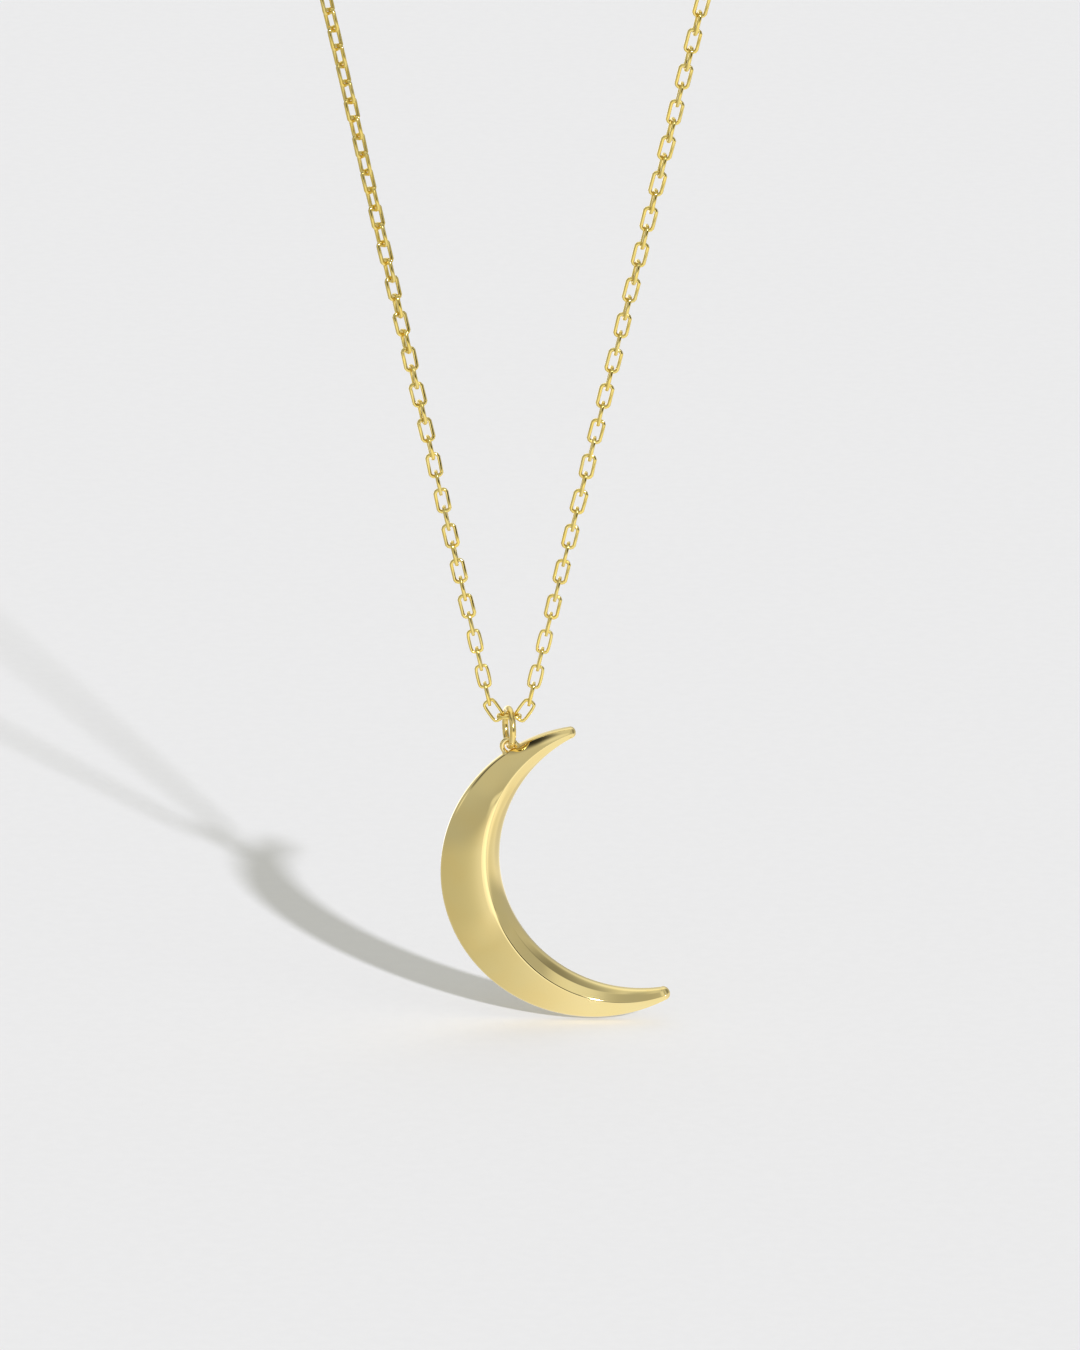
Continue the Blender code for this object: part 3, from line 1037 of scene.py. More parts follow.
@dataclass
class LinkShape:
    """One link of flat-faced wire: a rounded rectangle that lies in its local XY plane."""

    length: float
    width: float
    wire: float
    corner: float
    flat: float = 0.62
    steps: int = 12

    def model(self, name: str, levels: int = 0) -> Piece:
        """Models the link about the origin, long along X.

        Args:
            name: The piece's name.
            levels: How many times its faces are subdivided.

        Returns:
            The link.
        """
        deselect_everything()
        bpy.ops.mesh.primitive_plane_add(
            size=self.wire, location=(self.corner, 0.0, 0.0), rotation=(QUARTER, 0.0, 0.0)
        )
        piece = named(name)
        place(piece, Matrix.Identity(4))
        edit(piece)
        bpy.ops.mesh.select_all(action="SELECT")
        chamfer = self.wire * (1.0 - self.flat) / 2.0
        bpy.ops.mesh.bevel(offset=chamfer, affect="VERTICES", segments=1)
        leave_edit()
        keep_outline(piece)
        spin(piece, self.steps, math.tau)
        place(piece, Matrix.Rotation(math.pi / self.steps, 4, "Z"))
        close_up(piece)
        edit(piece)
        centre_width = self.width - self.wire
        centre_length = self.length - self.wire
        for axis, half in ((0, centre_length / 2.0), (1, centre_width / 2.0)):
            shift = Vector((0.0, 0.0, 0.0))
            shift[axis] = half - self.corner
            pick(piece, lambda p, a=axis: p[a] > 0.0)
            move_picked(shift)
            pick(piece, lambda p, a=axis: p[a] < 0.0)
            move_picked(-shift)
        leave_edit()
        if levels:
            apply_modifier(piece, "SUBSURF", levels=levels, render_levels=levels)
        smooth(piece, math.radians(62.0))
        return piece


@dataclass
class CableChain:
    """A chain of equal links: its sizes, and where a link sits when it is hooked."""

    shape: LinkShape
    play: float

    @property
    def reach(self) -> float:
        """From the wire's middle at one end of a link to that at the other."""
        return self.shape.length - self.shape.wire

    @property
    def hook(self) -> float:
        """How far two hooked links' wire middles pass each other."""
        return self.shape.wire + self.play

    @property
    def pitch(self) -> float:
        """From one link's middle to the next."""
        return self.reach - self.hook


FINE_CHAIN = CableChain(
    LinkShape(length=2.09 * MM, width=1.24 * MM, wire=0.28 * MM, corner=0.34 * MM), play=0.04 * MM
)
EXTENSION_CHAIN = CableChain(
    LinkShape(
        length=3.6 * MM, width=2.7 * MM, wire=0.5 * MM, corner=0.78 * MM, flat=0.5, steps=20
    ),
    play=0.06 * MM,
)


@dataclass
class Route:
    """The line that the chain hangs along, as the CAD model lays it."""

    neck_radius: float = 32.0 * MM
    neck_depth: float = 32.0 * MM
    neck_rise: float = math.radians(15.0)
    shoulder_radius: float = 8.0 * MM
    lean: float = math.radians(12.95)
    first_lean: float = math.radians(34.0)
    front_links: int = 6
    nape_links: int = 3
    chain: CableChain = field(default_factory=lambda: FINE_CHAIN)

    def __post_init__(self) -> None:
        """Works out the shoulder, the nape and the centre link from the sizes."""
        self.strand = Vector((math.sin(self.lean), 0.0, math.cos(self.lean)))
        self.first = Vector((math.sin(self.first_lean), 0.0, math.cos(self.first_lean)))
        self.backward = Vector((0.0, math.cos(self.neck_rise), math.sin(self.neck_rise)))
        self.bend = self.strand.angle(self.backward)
        self.setback = self.shoulder_radius * math.tan(self.bend / 2.0)
        self.shoulder = X_AXIS * self.neck_radius - self.strand * self.setback
        self.nape = self.backward * (self.setback + self.neck_depth)
        near = X_AXIS * (self.chain.reach / 2.0) - self.first * self.chain.hook
        near = near + self.first * (self.chain.reach - self.chain.hook)
        run = (self.shoulder.x - near.x) / self.strand.x
        self.centre = Vector((0.0, 0.0, self.shoulder.z - run * self.strand.z - near.z))

    def front(self) -> list[tuple[Vector, Vector, Vector]]:
        """The links next to the pendant, on the right.

        Returns:
            Each link's near end, the way it runs and the way its width lies.
        """
        spots = []
        near = self.centre + X_AXIS * (self.chain.reach / 2.0) - self.first * self.chain.hook
        along = self.first
        spots.append((near, along, along.cross(Y_AXIS)))
        pull = self.first
        for number in range(2, self.front_links + 1):
            far = near + along * self.chain.reach
            near = far - pull * self.chain.hook
            along = pull = self.strand
            spots.append((near, along, along.cross(Y_AXIS) if number % 2 else Y_AXIS))
        return spots

    def neck_curve(self, end_x: float, count: int = 96) -> list[Vector]:
        """From the right shoulder, over the collar and round to the nape.

        Args:
            end_x: Where the curve ends, to the right of the middle.
            count: How many points the curve has.

        Returns:
            The curve's points.
        """
        inward = (self.backward - self.strand * self.backward.dot(self.strand)).normalized()
        pivot = self.shoulder + inward * self.shoulder_radius
        points = []
        for i in range(count // 4):
            turn = self.bend * i / (count // 4)
            spoke = self.strand * math.sin(turn) - inward * math.cos(turn)
            points.append(pivot + spoke * self.shoulder_radius)
        for i in range(count + 1):
            turn = QUARTER * i / count
            across = end_x + (self.neck_radius - end_x) * math.cos(turn)
            points.append(
                X_AXIS * across + self.backward * (self.setback + self.neck_depth * math.sin(turn))
            )
        return points


class Polyline:
    """A smooth line that can be read at any distance along it."""

    def __init__(self, points: list[Vector]) -> None:
        """Measures the line.

        Args:
            points: The line's points, in order.
        """
        self.points = points
        self.marks = [0.0]
        for a, b in zip(points, points[1:]):
            self.marks.append(self.marks[-1] + (b - a).length)

    @property
    def length(self) -> float:
        """The line's whole length."""
        return self.marks[-1]

    def at(self, distance: float) -> Vector:
        """The point at a distance from the start; past an end it runs straight on.

        Args:
            distance: How far along the line.

        Returns:
            The point.
        """
        i = 0
        while i < len(self.marks) - 2 and self.marks[i + 1] < distance:
            i += 1
        span = self.marks[i + 1] - self.marks[i]
        return self.points[i].lerp(self.points[i + 1], (distance - self.marks[i]) / span)


@dataclass(frozen=True)
class StrandEnd:
    """How a strand's last link lies: its untwisted reference and its turn from that."""

    reference: Vector
    turn: float


def link_matrix(near: Vector, along: Vector, across: Vector, reach: float) -> Matrix:
    """Where a link goes, from its near end, the way it runs and the way its width lies."""
    return frame_matrix(near + along * (reach / 2.0), along, across)


@dataclass
class Chain:
    """The whole fine chain: front links, strands, neck and nape links."""

    route: Route
    finishes: Finishes
    upper_twist: dict[Side, float] = field(
        default_factory=lambda: {Side.LEFT: math.radians(45.0), Side.RIGHT: math.radians(8.0)}
    )
    twist_starts: float = -124.0 * MM
    twist_full: float = -82.0 * MM
    wobble: float = math.radians(5.0)
    tilt: float = math.radians(1.6)
    shoulder_slack: float = 0.05 * MM
    seed: int = 7

    def build(self) -> list[Piece]:
        """Builds every link.

        Returns:
            The pieces.
        """
        rng = random.Random(self.seed)
        shape = self.route.chain.shape
        self.fine = shape.model("link_model_fine", levels=1)
        self.plain = shape.model("link_model")
        pieces = [self.centre_link()]
        for side in Side:
            pieces += self.front_links(side)
            strand, twist = self.strand(side, rng)
            pieces.append(strand)
            pieces += self.nape_links(side)
            pieces.append(self.neck(side, twist, rng))
        for model in (self.fine, self.plain):
            bpy.data.objects.remove(model, do_unlink=True)
        return pieces

    def finish_link(self, piece: Piece, body: str, node: str) -> Piece:
        """Dresses a piece of chain, hangs it on what it rides on and hides the CAD node that it
        stands for.

        Args:
            piece: The piece.
            body: What it rides on.
            node: The CAD node that it stands for.

        Returns:
            The same piece.
        """
        self.finishes.dress(piece, "chain_gold")
        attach(piece, body)
        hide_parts(node)
        return piece

    def centre_link(self) -> Piece:
        """The level link that the bail ring hangs on.

        Returns:
            The piece.
        """
        near = self.route.centre - X_AXIS * (self.route.chain.reach / 2.0)
        matrix = link_matrix(near, X_AXIS, Y_AXIS, self.route.chain.reach)
        link = copy_of(self.fine, "cable_centre_link", matrix)
        return self.finish_link(link, "bail", "centre_link")

    def front_links(self, side: Side) -> list[Piece]:
        """The hooked links beside the pendant, each a piece of its own.

        Args:
            side: Which side of the pendant.

        Returns:
            The pieces.
        """
        pieces = []
        for number, (near, along, across) in enumerate(self.route.front(), 1):
            near, along, across = (side.mirror(v) for v in (near, along, across))
            matrix = link_matrix(near, along, across, self.route.chain.reach)
            piece = copy_of(self.fine, f"cable_link_{side.value}_{number}", matrix)
            node = f"front_link_{side.value}_{number}"
            pieces.append(self.finish_link(piece, "front_drop", node))
        return pieces

    def run_of_links(
        self,
        line: Polyline,
        start: float,
        end: float,
        reference: Vector,
        twist: Callable[[float, int], float],
        rng: random.Random,
    ) -> tuple[list[Piece], Vector]:
        """Hooked links along a line, each turned a quarter from the last.

        Args:
            line: The line that they follow.
            start: Where the first link's near end is along it.
            end: Where the last link's far end is along it.
            reference: The way the first link's width would lie with no twist.
            twist: The turn about the line of the link at a height and of a number.
            rng: The source of their small unevenness.

        Returns:
            The links, and the untwisted reference carried to the last one.
        """
        chain = self.route.chain
        span = end - start - chain.reach
        count = round(span / chain.pitch) + 1
        pitch = span / (count - 1)
        links = []
        carried = reference
        before = None
        for number in range(count):
            middle = start + chain.reach / 2.0 + pitch * number
            low = line.at(middle - chain.reach / 2.0)
            high = line.at(middle + chain.reach / 2.0)
            along = (high - low).normalized()
            if before is not None:
                carried = before.rotation_difference(along) @ carried
            before = along
            turn = twist((low.z + high.z) / 2.0, number) + rng.uniform(-1.0, 1.0) * self.wobble
            across = Matrix.Rotation(turn + QUARTER * (number % 2), 3, along) @ carried
            lean = Matrix.Rotation(rng.uniform(-1.0, 1.0) * self.tilt, 3, across.cross(along))
            run = lean @ along
            centre = (low + high) / 2.0
            links.append(copy_of(self.plain, "link", frame_matrix(centre, run, across)))
        return links, carried

    def strand(self, side: Side, rng: random.Random) -> tuple[Piece, StrandEnd]:
        """One straight side of the V, up to the shoulder.

        Args:
            side: Which strand.
            rng: The source of the links' small unevenness.

        Returns:
            The piece, and how its last link lies.
        """
        chain = self.route.chain
        near, along, _ = (side.mirror(v) for v in self.route.front()[-1])
        base = near + along * (chain.reach - chain.hook)
        shoulder = side.mirror(self.route.shoulder)
        line = Polyline([base, shoulder])
        end = line.length + chain.hook / 2.0 + self.shoulder_slack / 2.0
        first_quarter = QUARTER * (self.route.front_links % 2)

        def twist(height: float, number: int) -> float:
            """The strand's slow turn, which grows upwards.

            Args:
                height: The link's height.
                number: The link's number, which doesn't matter here.

            Returns:
                The turn.
            """
            del number
            share = (height - self.twist_starts) / (self.twist_full - self.twist_starts)
            return first_quarter + self.upper_twist[side] * soft_step(share)

        reference = along.cross(Y_AXIS)
        links, carried = self.run_of_links(line, 0.0, end, reference, twist, rng)
        count = len(links)
        piece = join(f"strand_chain_{side.value}", links)
        self.finish_link(piece, "front_drop", f"strand_{side.value}")
        last = twist(shoulder.z, count) + QUARTER * ((count - 1) % 2)
        return piece, StrandEnd(carried, last)

    def nape_links(self, side: Side) -> list[Piece]:
        """The hooked links between a neck chain and its ring at the nape.

        Args:
            side: Which half.

        Returns:
            The pieces.
        """
        pieces = []
        for number in range(1, self.route.nape_links + 1):
            node = f"nape_link_{side.value}_{number}"
            low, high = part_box(node)
            middle = (low + high) / 2.0
            size = high - low
            across = Y_AXIS if size.y > size.z else Z_AXIS
            matrix = frame_matrix(middle, X_AXIS * side.sign, across)
            piece = copy_of(self.fine, f"cable_nape_link_{side.value}_{number}", matrix)
            pieces.append(self.finish_link(piece, "neck", node))
        return pieces

    def neck(self, side: Side, strand_end: StrandEnd, rng: random.Random) -> Piece:
        """The chain from the shoulder round to the nape links.

        Args:
            side: Which half.
            strand_end: How the strand's last link lies.
            rng: The source of the links' small unevenness.

        Returns:
            The piece.
        """
        chain = self.route.chain
        last_node = f"nape_link_{side.value}_{self.route.nape_links}"
        low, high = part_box(last_node)
        outer_end = high.x if side is Side.RIGHT else -low.x
        end_x = outer_end - chain.shape.wire / 2.0
        line = Polyline([side.mirror(p) for p in self.route.neck_curve(end_x)])
        start = -chain.hook / 2.0 - self.shoulder_slack / 2.0
        end = line.length + chain.hook
        carried = strand_end.reference
        begin = strand_end.turn + QUARTER
        size = high - low
        nape_across = Y_AXIS if size.y > size.z else Z_AXIS
        span = end - start - chain.reach
        count = round(span / chain.pitch) + 1

        reference = carried
        before = None
        for number in range(count):
            middle = start + chain.reach / 2.0 + span / (count - 1) * number
            ahead = line.at(middle + chain.reach / 2.0) - line.at(middle - chain.reach / 2.0)
            if before is not None:
                reference = before.rotation_difference(ahead) @ reference
            before = ahead
        along = before.normalized()
        untwisted = begin + QUARTER * ((count - 1) % 2)
        arrives = Matrix.Rotation(untwisted, 3, along) @ reference
        wanted = nape_across.cross(along)
        gap = math.atan2(arrives.cross(wanted).dot(along), arrives.dot(wanted))
        gap = (gap + QUARTER) % math.pi - QUARTER

        def twist(height: float, number: int) -> float:
            """Spreads the turn that is left evenly over the neck chain."""
            del height
            return begin + gap * number / (count - 1)

        links, _ = self.run_of_links(line, start, end, carried, twist, rng)
        piece = join(f"neck_chain_links_{side.value}", links)
        return self.finish_link(piece, "neck", f"neck_chain_{side.value}")


# --------------------------------------------------------------- the pendant


@dataclass(frozen=True)
class Station:
    """Where one section is: its angle, how far it is drawn in and how far pushed on."""

    angle: float
    shrink: float = 1.0
    advance: float = 0.0


@dataclass
class CrescentShape:
    """The puffed crescent: two arcs, a ridge that is crisp on the horns, and a flat back."""

    outer: float = 12.3 * MM
    inner: float = 11.4 * MM
    offset: float = 4.07 * MM
    tilt: float = math.radians(20.5)
    upper_horn: float = math.radians(101.0)
    lower_horn: float = math.radians(98.5)
    thickness: float = 2.3 * MM
    rim: float = 0.6 * MM
    ridge_at_horns: float = 0.38
    ridge_at_middle: float = 0.78
    sections: int = 200
    outer_rows: int = 14
    inner_rows: int = 10
    nub_rows: int = 12
    nub_turn: float = math.radians(84.0)
    rim_round: float = 0.09 * MM
    edge_share: float = 0.045
    knee: float = 0.34
    knee_rise: float = 0.56
    lower_crease_starts: float = math.radians(2.0)
    lower_crease_run: float = math.radians(18.0)
    upper_crease_starts: float = math.radians(56.0)
    upper_crease_run: float = math.radians(16.0)
    knee_round: float = 0.03
    knee_gain: float = 1.5
    inner_bow: float = 0.9
    lean_in: float = 0.4
    crowding: float = 1.3
    fullness: float = 0.85
    facet_bow: float = 0.3

    def inner_radius(self, angle: float) -> float:
        """Distance from the outer centre to the inner circle.

        Args:
            angle: Where the section is.

        Returns:
            The distance.
        """
        shift = -self.offset * math.cos(angle)
        chord = self.inner**2 - self.offset**2 + shift**2
        return math.sqrt(chord) + shift

    def width(self, angle: float) -> float:
        """The crescent's width at this angle."""
        return self.outer - self.inner_radius(angle)

    def crispness(self, angle: float) -> float:
        """How crisp the ridge is, which is a soft swell between the horns.

        Args:
            angle: Where the section is.

        Returns:
            0 for a soft swell and 1 for a crisp edge.
        """
        below = (self.lower_crease_starts - angle) / self.lower_crease_run
        above = (angle - self.upper_crease_starts) / self.upper_crease_run
        return soft_step(max(below, above))

    def profile(self, angle: float) -> list[tuple[float, float]]:
        """One cross-section's outline, from the back's outer edge to its inner edge.

        Args:
            angle: Where the section is, from the left horn's side upwards.

        Returns:
            For each point, its share of the width from the outer edge, and its height.
        """
        width = self.width(angle)
        share = width / self.width(0.0)
        ridge = self.ridge_at_horns + (self.ridge_at_middle - self.ridge_at_horns) * share
        dome = (self.thickness - self.rim) * share
        crisp = self.crispness(angle)
        rounding = self.rim_round / width
        outline = [(0.0, 0.0), (0.0, self.rim * 0.5), (0.0, self.rim - self.rim_round)]
        for t in self.outer_shares():
            rise = self.rim + dome * self.swell(t, crisp)
            outline.append((ridge * t + rounding * (1.0 - t) * self.lean_in, rise))
        for t in self.inner_shares():
            rise = self.rim + dome * self.inner_swell(t, crisp, share)
            inset = (1.0 - ridge) * t + rounding * (1.0 - t) * self.lean_in
            outline.append((1.0 - inset, rise))
        outline += [(1.0, self.rim - self.rim_round), (1.0, self.rim * 0.5), (1.0, 0.0)]
        return outline

    def outer_shares(self) -> list[float]:
        """The rows between the outer rim (0) and the ridge (1), closer at both."""
        even = [(i / self.outer_rows) ** self.crowding for i in range(1, self.outer_rows)]
        return even + [1.0 - 2.0 * self.edge_share, 1.0 - self.edge_share, 1.0]

    def inner_shares(self) -> list[float]:
        """The rows from the ridge to the inner rim, closer at the ridge and the knee.

        Returns:
            Each row's share, between 1 at the ridge and 0 at the inner rim.
        """
        upper = [1.0 - (1.0 - self.knee) * i / self.inner_rows for i in range(2, self.inner_rows)]
        lower = [self.knee * (1.0 - i / 5.0) for i in range(1, 5)]
        near_knee = [self.knee + self.knee_round, self.knee, self.knee - self.knee_round]
        return [1.0 - 2.0 * self.edge_share] + upper + near_knee + lower

    def inner_swell(self, share: float, crisp: float, breadth: float) -> float:
        """The dome's rise on the inner side, where the horns have a knee as well as a ridge.

        Args:
            share: 1 at the ridge and 0 at the inner rim.
            crisp: How far the ridge and the knee are crisp edges.
            breadth: The section's width as a share of the widest.

        Returns:
            The rise, as a share of the dome's height.
        """
        full = min(1.0, self.knee_gain * breadth)
        at_knee = self.knee + (self.knee_rise - self.knee) * full
        if share > self.knee:
            facet = 1.0 - (1.0 - at_knee) * (1.0 - share) / (1.0 - self.knee)
        else:
            facet = at_knee * (share / self.knee) ** self.inner_bow
        soft = self.soft_swell(share)
        return soft + (facet - soft) * crisp

    def soft_swell(self, share: float) -> float:
        """The rise where the ridge is soft."""
        return math.sin(share * QUARTER) ** self.fullness

    def swell(self, share: float, crisp: float) -> float:
        """The dome's rise from the outer rim to the ridge.

        Args:
            share: 0 at the rim and 1 at the ridge.
            crisp: How far the ridge is a crisp edge.

        Returns:
            The rise, as a share of the dome's height.
        """
        soft = self.soft_swell(share)
        facet = (1.0 + self.facet_bow) * share - self.facet_bow * share**2
        return soft + (facet - soft) * crisp

    def point(self, station: Station, across: float, height: float) -> Vector:
        """A point of the crescent about the centre of its outer circle.

        Args:
            station: Its section.
            across: Its share of the width from the outer edge.
            height: Its height above the flat back.

        Returns:
            The point.
        """
        angle, shrink, advance = station.angle, station.shrink, station.advance
        width = self.width(angle)
        radial = Vector((-math.cos(angle), 0.0, math.sin(angle)))
        tangent = Vector((math.sin(angle), 0.0, math.cos(angle)))
        middle = radial * (self.outer - width / 2.0) - Y_AXIS * (self.rim / 2.0)
        spot = radial * (self.outer - width * across) - Y_AXIS * height
        return middle + (spot - middle) * shrink + tangent * advance

    def stations(self) -> list[Station]:
        """Where the sections are, from horn to horn.

        Returns:
            The sections, the nubs that round off both horns among them.
        """
        sweep = self.upper_horn + self.lower_horn
        body = [
            Station(-self.lower_horn + sweep * i / (self.sections - 1))
            for i in range(self.sections)
        ]
        ends = []
        for angle, way in ((-self.lower_horn, -1.0), (self.upper_horn, 1.0)):
            radius = self.width(angle) / 2.0
            turns = [self.nub_turn * i / self.nub_rows for i in range(1, self.nub_rows + 1)]
            ends.append([Station(angle, math.cos(t), way * radius * math.sin(t)) for t in turns])
        return ends[0][::-1] + body + ends[1]


@dataclass
class Pendant:
    """The bail ring, the crescent's soldered loop and the crescent."""

    route: Route
    finishes: Finishes
    shape: CrescentShape = field(default_factory=CrescentShape)
    ring_radius: float = 1.5 * MM
    ring_wire: float = 0.52 * MM
    ring_yaw: float = math.radians(12.0)
    ring_play: float = 0.05 * MM
    seam_rise: float = math.radians(35.0)
    loop_radius: float = 0.55 * MM
    loop_wire: float = 0.4 * MM
    loop_lift: float = 0.31 * MM
    seam_gap: float = 0.03 * MM
    solder_spread: float = 1.5
    foot_depth: float = 0.06 * MM

    def build(self) -> list[Piece]:
        """Builds the pendant.

        Returns:
            The pieces.
        """
        pieces = [self.bail_ring()]
        crescent, settle, outward, loop_centre = self.crescent()
        pieces.append(crescent)
        pieces += self.loop(settle, outward, loop_centre)
        return pieces

    def ring_centre(self) -> Vector:
        """The bail ring's centre, hanging on the centre link's two sides.

        Returns:
            The centre.
        """
        chain = self.route.chain
        reach = self.ring_radius - (self.ring_wire + chain.shape.wire) / 2.0 - self.ring_play
        half = (chain.shape.width - chain.shape.wire) / 2.0
        return self.route.centre - Z_AXIS * math.sqrt(reach**2 - half**2)

    def bail_ring(self) -> Piece:
        """A round ring, closed by a tight butt joint at its upper back.

        Returns:
            The piece.
        """
        gap = self.seam_gap / self.ring_radius
        turn = math.tau - gap
        ring = spun_wire(
            "bail_ring_wire", self.ring_wire, self.ring_radius, gap / 2.0, turn, 72, sides=20
        )
        ease(ring, 0.02 * MM, 2)
        across = Vector((-math.sin(self.ring_yaw), math.cos(self.ring_yaw), 0.0))
        seam_at = across * math.cos(self.seam_rise) + Z_AXIS * math.sin(self.seam_rise)
        place(ring, frame_matrix(self.ring_centre(), seam_at, Z_AXIS))
        smooth(ring)
        self.finishes.dress(ring, "ring_gold")
        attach(ring, "bail")
        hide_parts("bail_ring")
        return ring

    def crescent(self) -> tuple[Piece, Matrix, Vector, Vector]:
        """The crescent, drawn from a grid that is wrapped round its form and closed behind.

        Returns:
            The piece, the turn that lets it hang in balance, the way its loop stands
            and the loop's centre.
        """
        shape = self.shape
        stations = shape.stations()
        rows = len(shape.profile(0.0))
        deselect_everything()
        bpy.ops.mesh.primitive_grid_add(
            x_subdivisions=len(stations) - 1, y_subdivisions=rows - 1, size=2.0
        )
        piece = named("crescent_moon")
        tilt = Matrix.Rotation(-shape.tilt, 3, "Y")
        outlines = [shape.profile(station.angle) for station in stations]
        for vertex in piece.data.vertices:
            column = round((vertex.co.x + 1.0) / 2.0 * (len(stations) - 1))
            row = round((vertex.co.y + 1.0) / 2.0 * (rows - 1))
            vertex.co = tilt @ shape.point(stations[column], *outlines[column][row])
        edit(piece, "EDGE")
        bpy.ops.mesh.select_non_manifold()
        bpy.ops.mesh.edge_face_add()
        leave_edit()
        close_up(piece)

        balance = self.centre_of_mass(piece.data)
        stand_off = shape.outer + self.loop_lift
        outward = Vector((balance.x, 0.0, math.sqrt(stand_off**2 - balance.x**2))) / stand_off
        hook = self.ring_centre() - Z_AXIS * self.ring_radius
        hold = (self.ring_wire + self.loop_wire) / 2.0 + self.ring_play
        loop_centre = hook + Z_AXIS * (hold - self.loop_radius)
        placed = loop_centre - outward * stand_off + Y_AXIS * (shape.rim / 2.0)
        hang = placed + balance - hook
        level = Matrix.Rotation(math.atan2(hang.y, -hang.z), 4, "X")
        settle = Matrix.Translation(hook) @ level.inverted() @ Matrix.Translation(-hook)
        place(piece, settle @ Matrix.Translation(placed))
        smooth(piece, math.radians(80.0))
        self.finishes.dress(piece, "crescent_gold")
        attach(piece, "crescent")
        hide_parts("crescent")
        return piece, settle, outward, loop_centre

    def centre_of_mass(self, mesh: bpy.types.Mesh) -> Vector:
        """The centroid of a closed mesh, summed over its tetrahedra.

        Args:
            mesh: The mesh.

        Returns:
            The centroid.
        """
        total = 0.0
        moment = Vector()
        mesh.calc_loop_triangles()
        for triangle in mesh.loop_triangles:
            a, b, c = (mesh.vertices[i].co for i in triangle.vertices)
            volume = a.dot(b.cross(c)) / 6.0
            total += volume
            moment += (a + b + c) * (volume / 4.0)
        return moment / total

    def loop(self, settle: Matrix, outward: Vector, centre: Vector) -> list[Piece]:
        """The half loop on two legs, with a fillet of solder round each leg.

        Args:
            settle: The turn that lets the crescent hang in balance.
            outward: The way the loop stands off the rim.
            centre: The loop's centre.

        Returns:
            The pieces.
        """
        return staple(
            "crescent_loop_wire",
            "crescent_loop",
            settle @ frame_matrix(centre, outward.cross(Y_AXIS), outward),
            self.loop_radius,
            self.loop_wire,
            self.loop_lift + self.sink(),
            self.solder_spread,
            self.finishes,
            ("crescent_gold", "crescent"),
        )

    def sink(self) -> float:
        """How much deeper a leg's foot goes, where the rim curves away under it."""
        outer = self.shape.outer
        return outer - math.sqrt(outer**2 - self.loop_radius**2) + self.foot_depth


LEG_STRAIGHT = 0.35
LEG_FLARE = (0.3, 0.2, 0.15)


def extrude_down(depth: float) -> None:
    """Extrudes the picked edges along local -Y."""
    shift = {"value": (0.0, -depth, 0.0)}
    bpy.ops.mesh.extrude_region_move(MESH_OT_extrude_region={}, TRANSFORM_OT_translate=shift)


def staple(
    name: str,
    node: str,
    matrix: Matrix,
    radius: float,
    wire: float,
    leg: float,
    spread: float,
    finishes: Finishes,
    belongs: tuple[str, str],
) -> list[Piece]:
    """A half loop on two legs, soldered to the piece that it stands on.

    Args:
        name: The piece's name.
        node: The CAD node that it stands for.
        matrix: Where it goes: local Y points away from what it stands on.
        radius: The loop's radius.
        wire: The wire's diameter.
        leg: How long the legs are.
        spread: How much wider than the wire the solder's foot is.
        finishes: The model's materials.
        belongs: The finish and the body.

    Returns:
        The loop as one piece with its solder.
    """
    bow = spun_wire(name, wire, radius, 0.0, math.pi, 28, sides=20, ends=Ends.OPEN)
    edit(bow, "EDGE")
    pick(bow, lambda p: p.y < 0.001 * wire, "edges")
    extrude_down(leg * LEG_STRAIGHT)
    for share in LEG_FLARE:
        extrude_down(leg * share)
        grow = spread ** (share * 1.1 / sum(LEG_FLARE))
        for side in (-1.0, 1.0):
            swell_leg(bow, side * radius, grow)
        pick_lowest(bow)
    leave_edit()
    cap(bow)
    close_up(bow)
    place(bow, matrix)
    smooth(bow)
    slot, body = belongs
    finishes.dress(bow, slot)
    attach(bow, body)
    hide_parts(node)
    return [bow]


def pick_lowest(piece: Piece) -> None:
    """Selects the edges round a staple's feet.

    Args:
        piece: The staple, in edit mode.
    """
    work = bmesh.from_edit_mesh(piece.data)
    lowest = min(v.co.y for v in work.verts)
    pick(piece, lambda p: p.y < lowest + HAIR, "edges")


def swell_leg(piece: Piece, centre: float, grow: float) -> None:
    """Widens the foot of one leg about the leg's own middle.

    Args:
        piece: The staple, in edit mode.
        centre: Where the leg's middle is along X.
        grow: How many times wider the foot gets.
    """
    work = bmesh.from_edit_mesh(piece.data)
    lowest = min(v.co.y for v in work.verts)
    pick(piece, lambda p: p.y < lowest + HAIR and p.x * centre > 0.0)
    bpy.ops.transform.resize(value=(grow, 1.0, grow), center_override=(centre, lowest, 0.0))


# ------------------------------------------------------------------- the nape


@dataclass
class JumpRing:
    """A round ring of wire, cut and pressed shut."""

    name: str
    node: str
    radius: float
    wire: float
    slot: str
    seam_turn: float
    gap: float = 0.03 * MM

    def build(self, finishes: Finishes, body: str) -> Piece:
        """Builds the ring where its CAD node lies.

        Args:
            finishes: The model's materials.
            body: The body that it rides on.

        Returns:
            The piece.
        """
        low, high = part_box(self.node)
        middle = (low + high) / 2.0
        size = high - low
        other = Y_AXIS if size.y > size.z else Z_AXIS
        gap = self.gap / self.radius
        turn = math.tau - gap
        ring = spun_wire(self.name, self.wire, self.radius, gap / 2.0, turn, 64, sides=18)
        ease(ring, 0.02 * MM, 2)
        seam = X_AXIS * math.cos(self.seam_turn) + other * math.sin(self.seam_turn)
        place(ring, frame_matrix(middle, seam, other))
        smooth(ring)
        finishes.dress(ring, self.slot)
        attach(ring, body)
        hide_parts(self.node)
        return ring


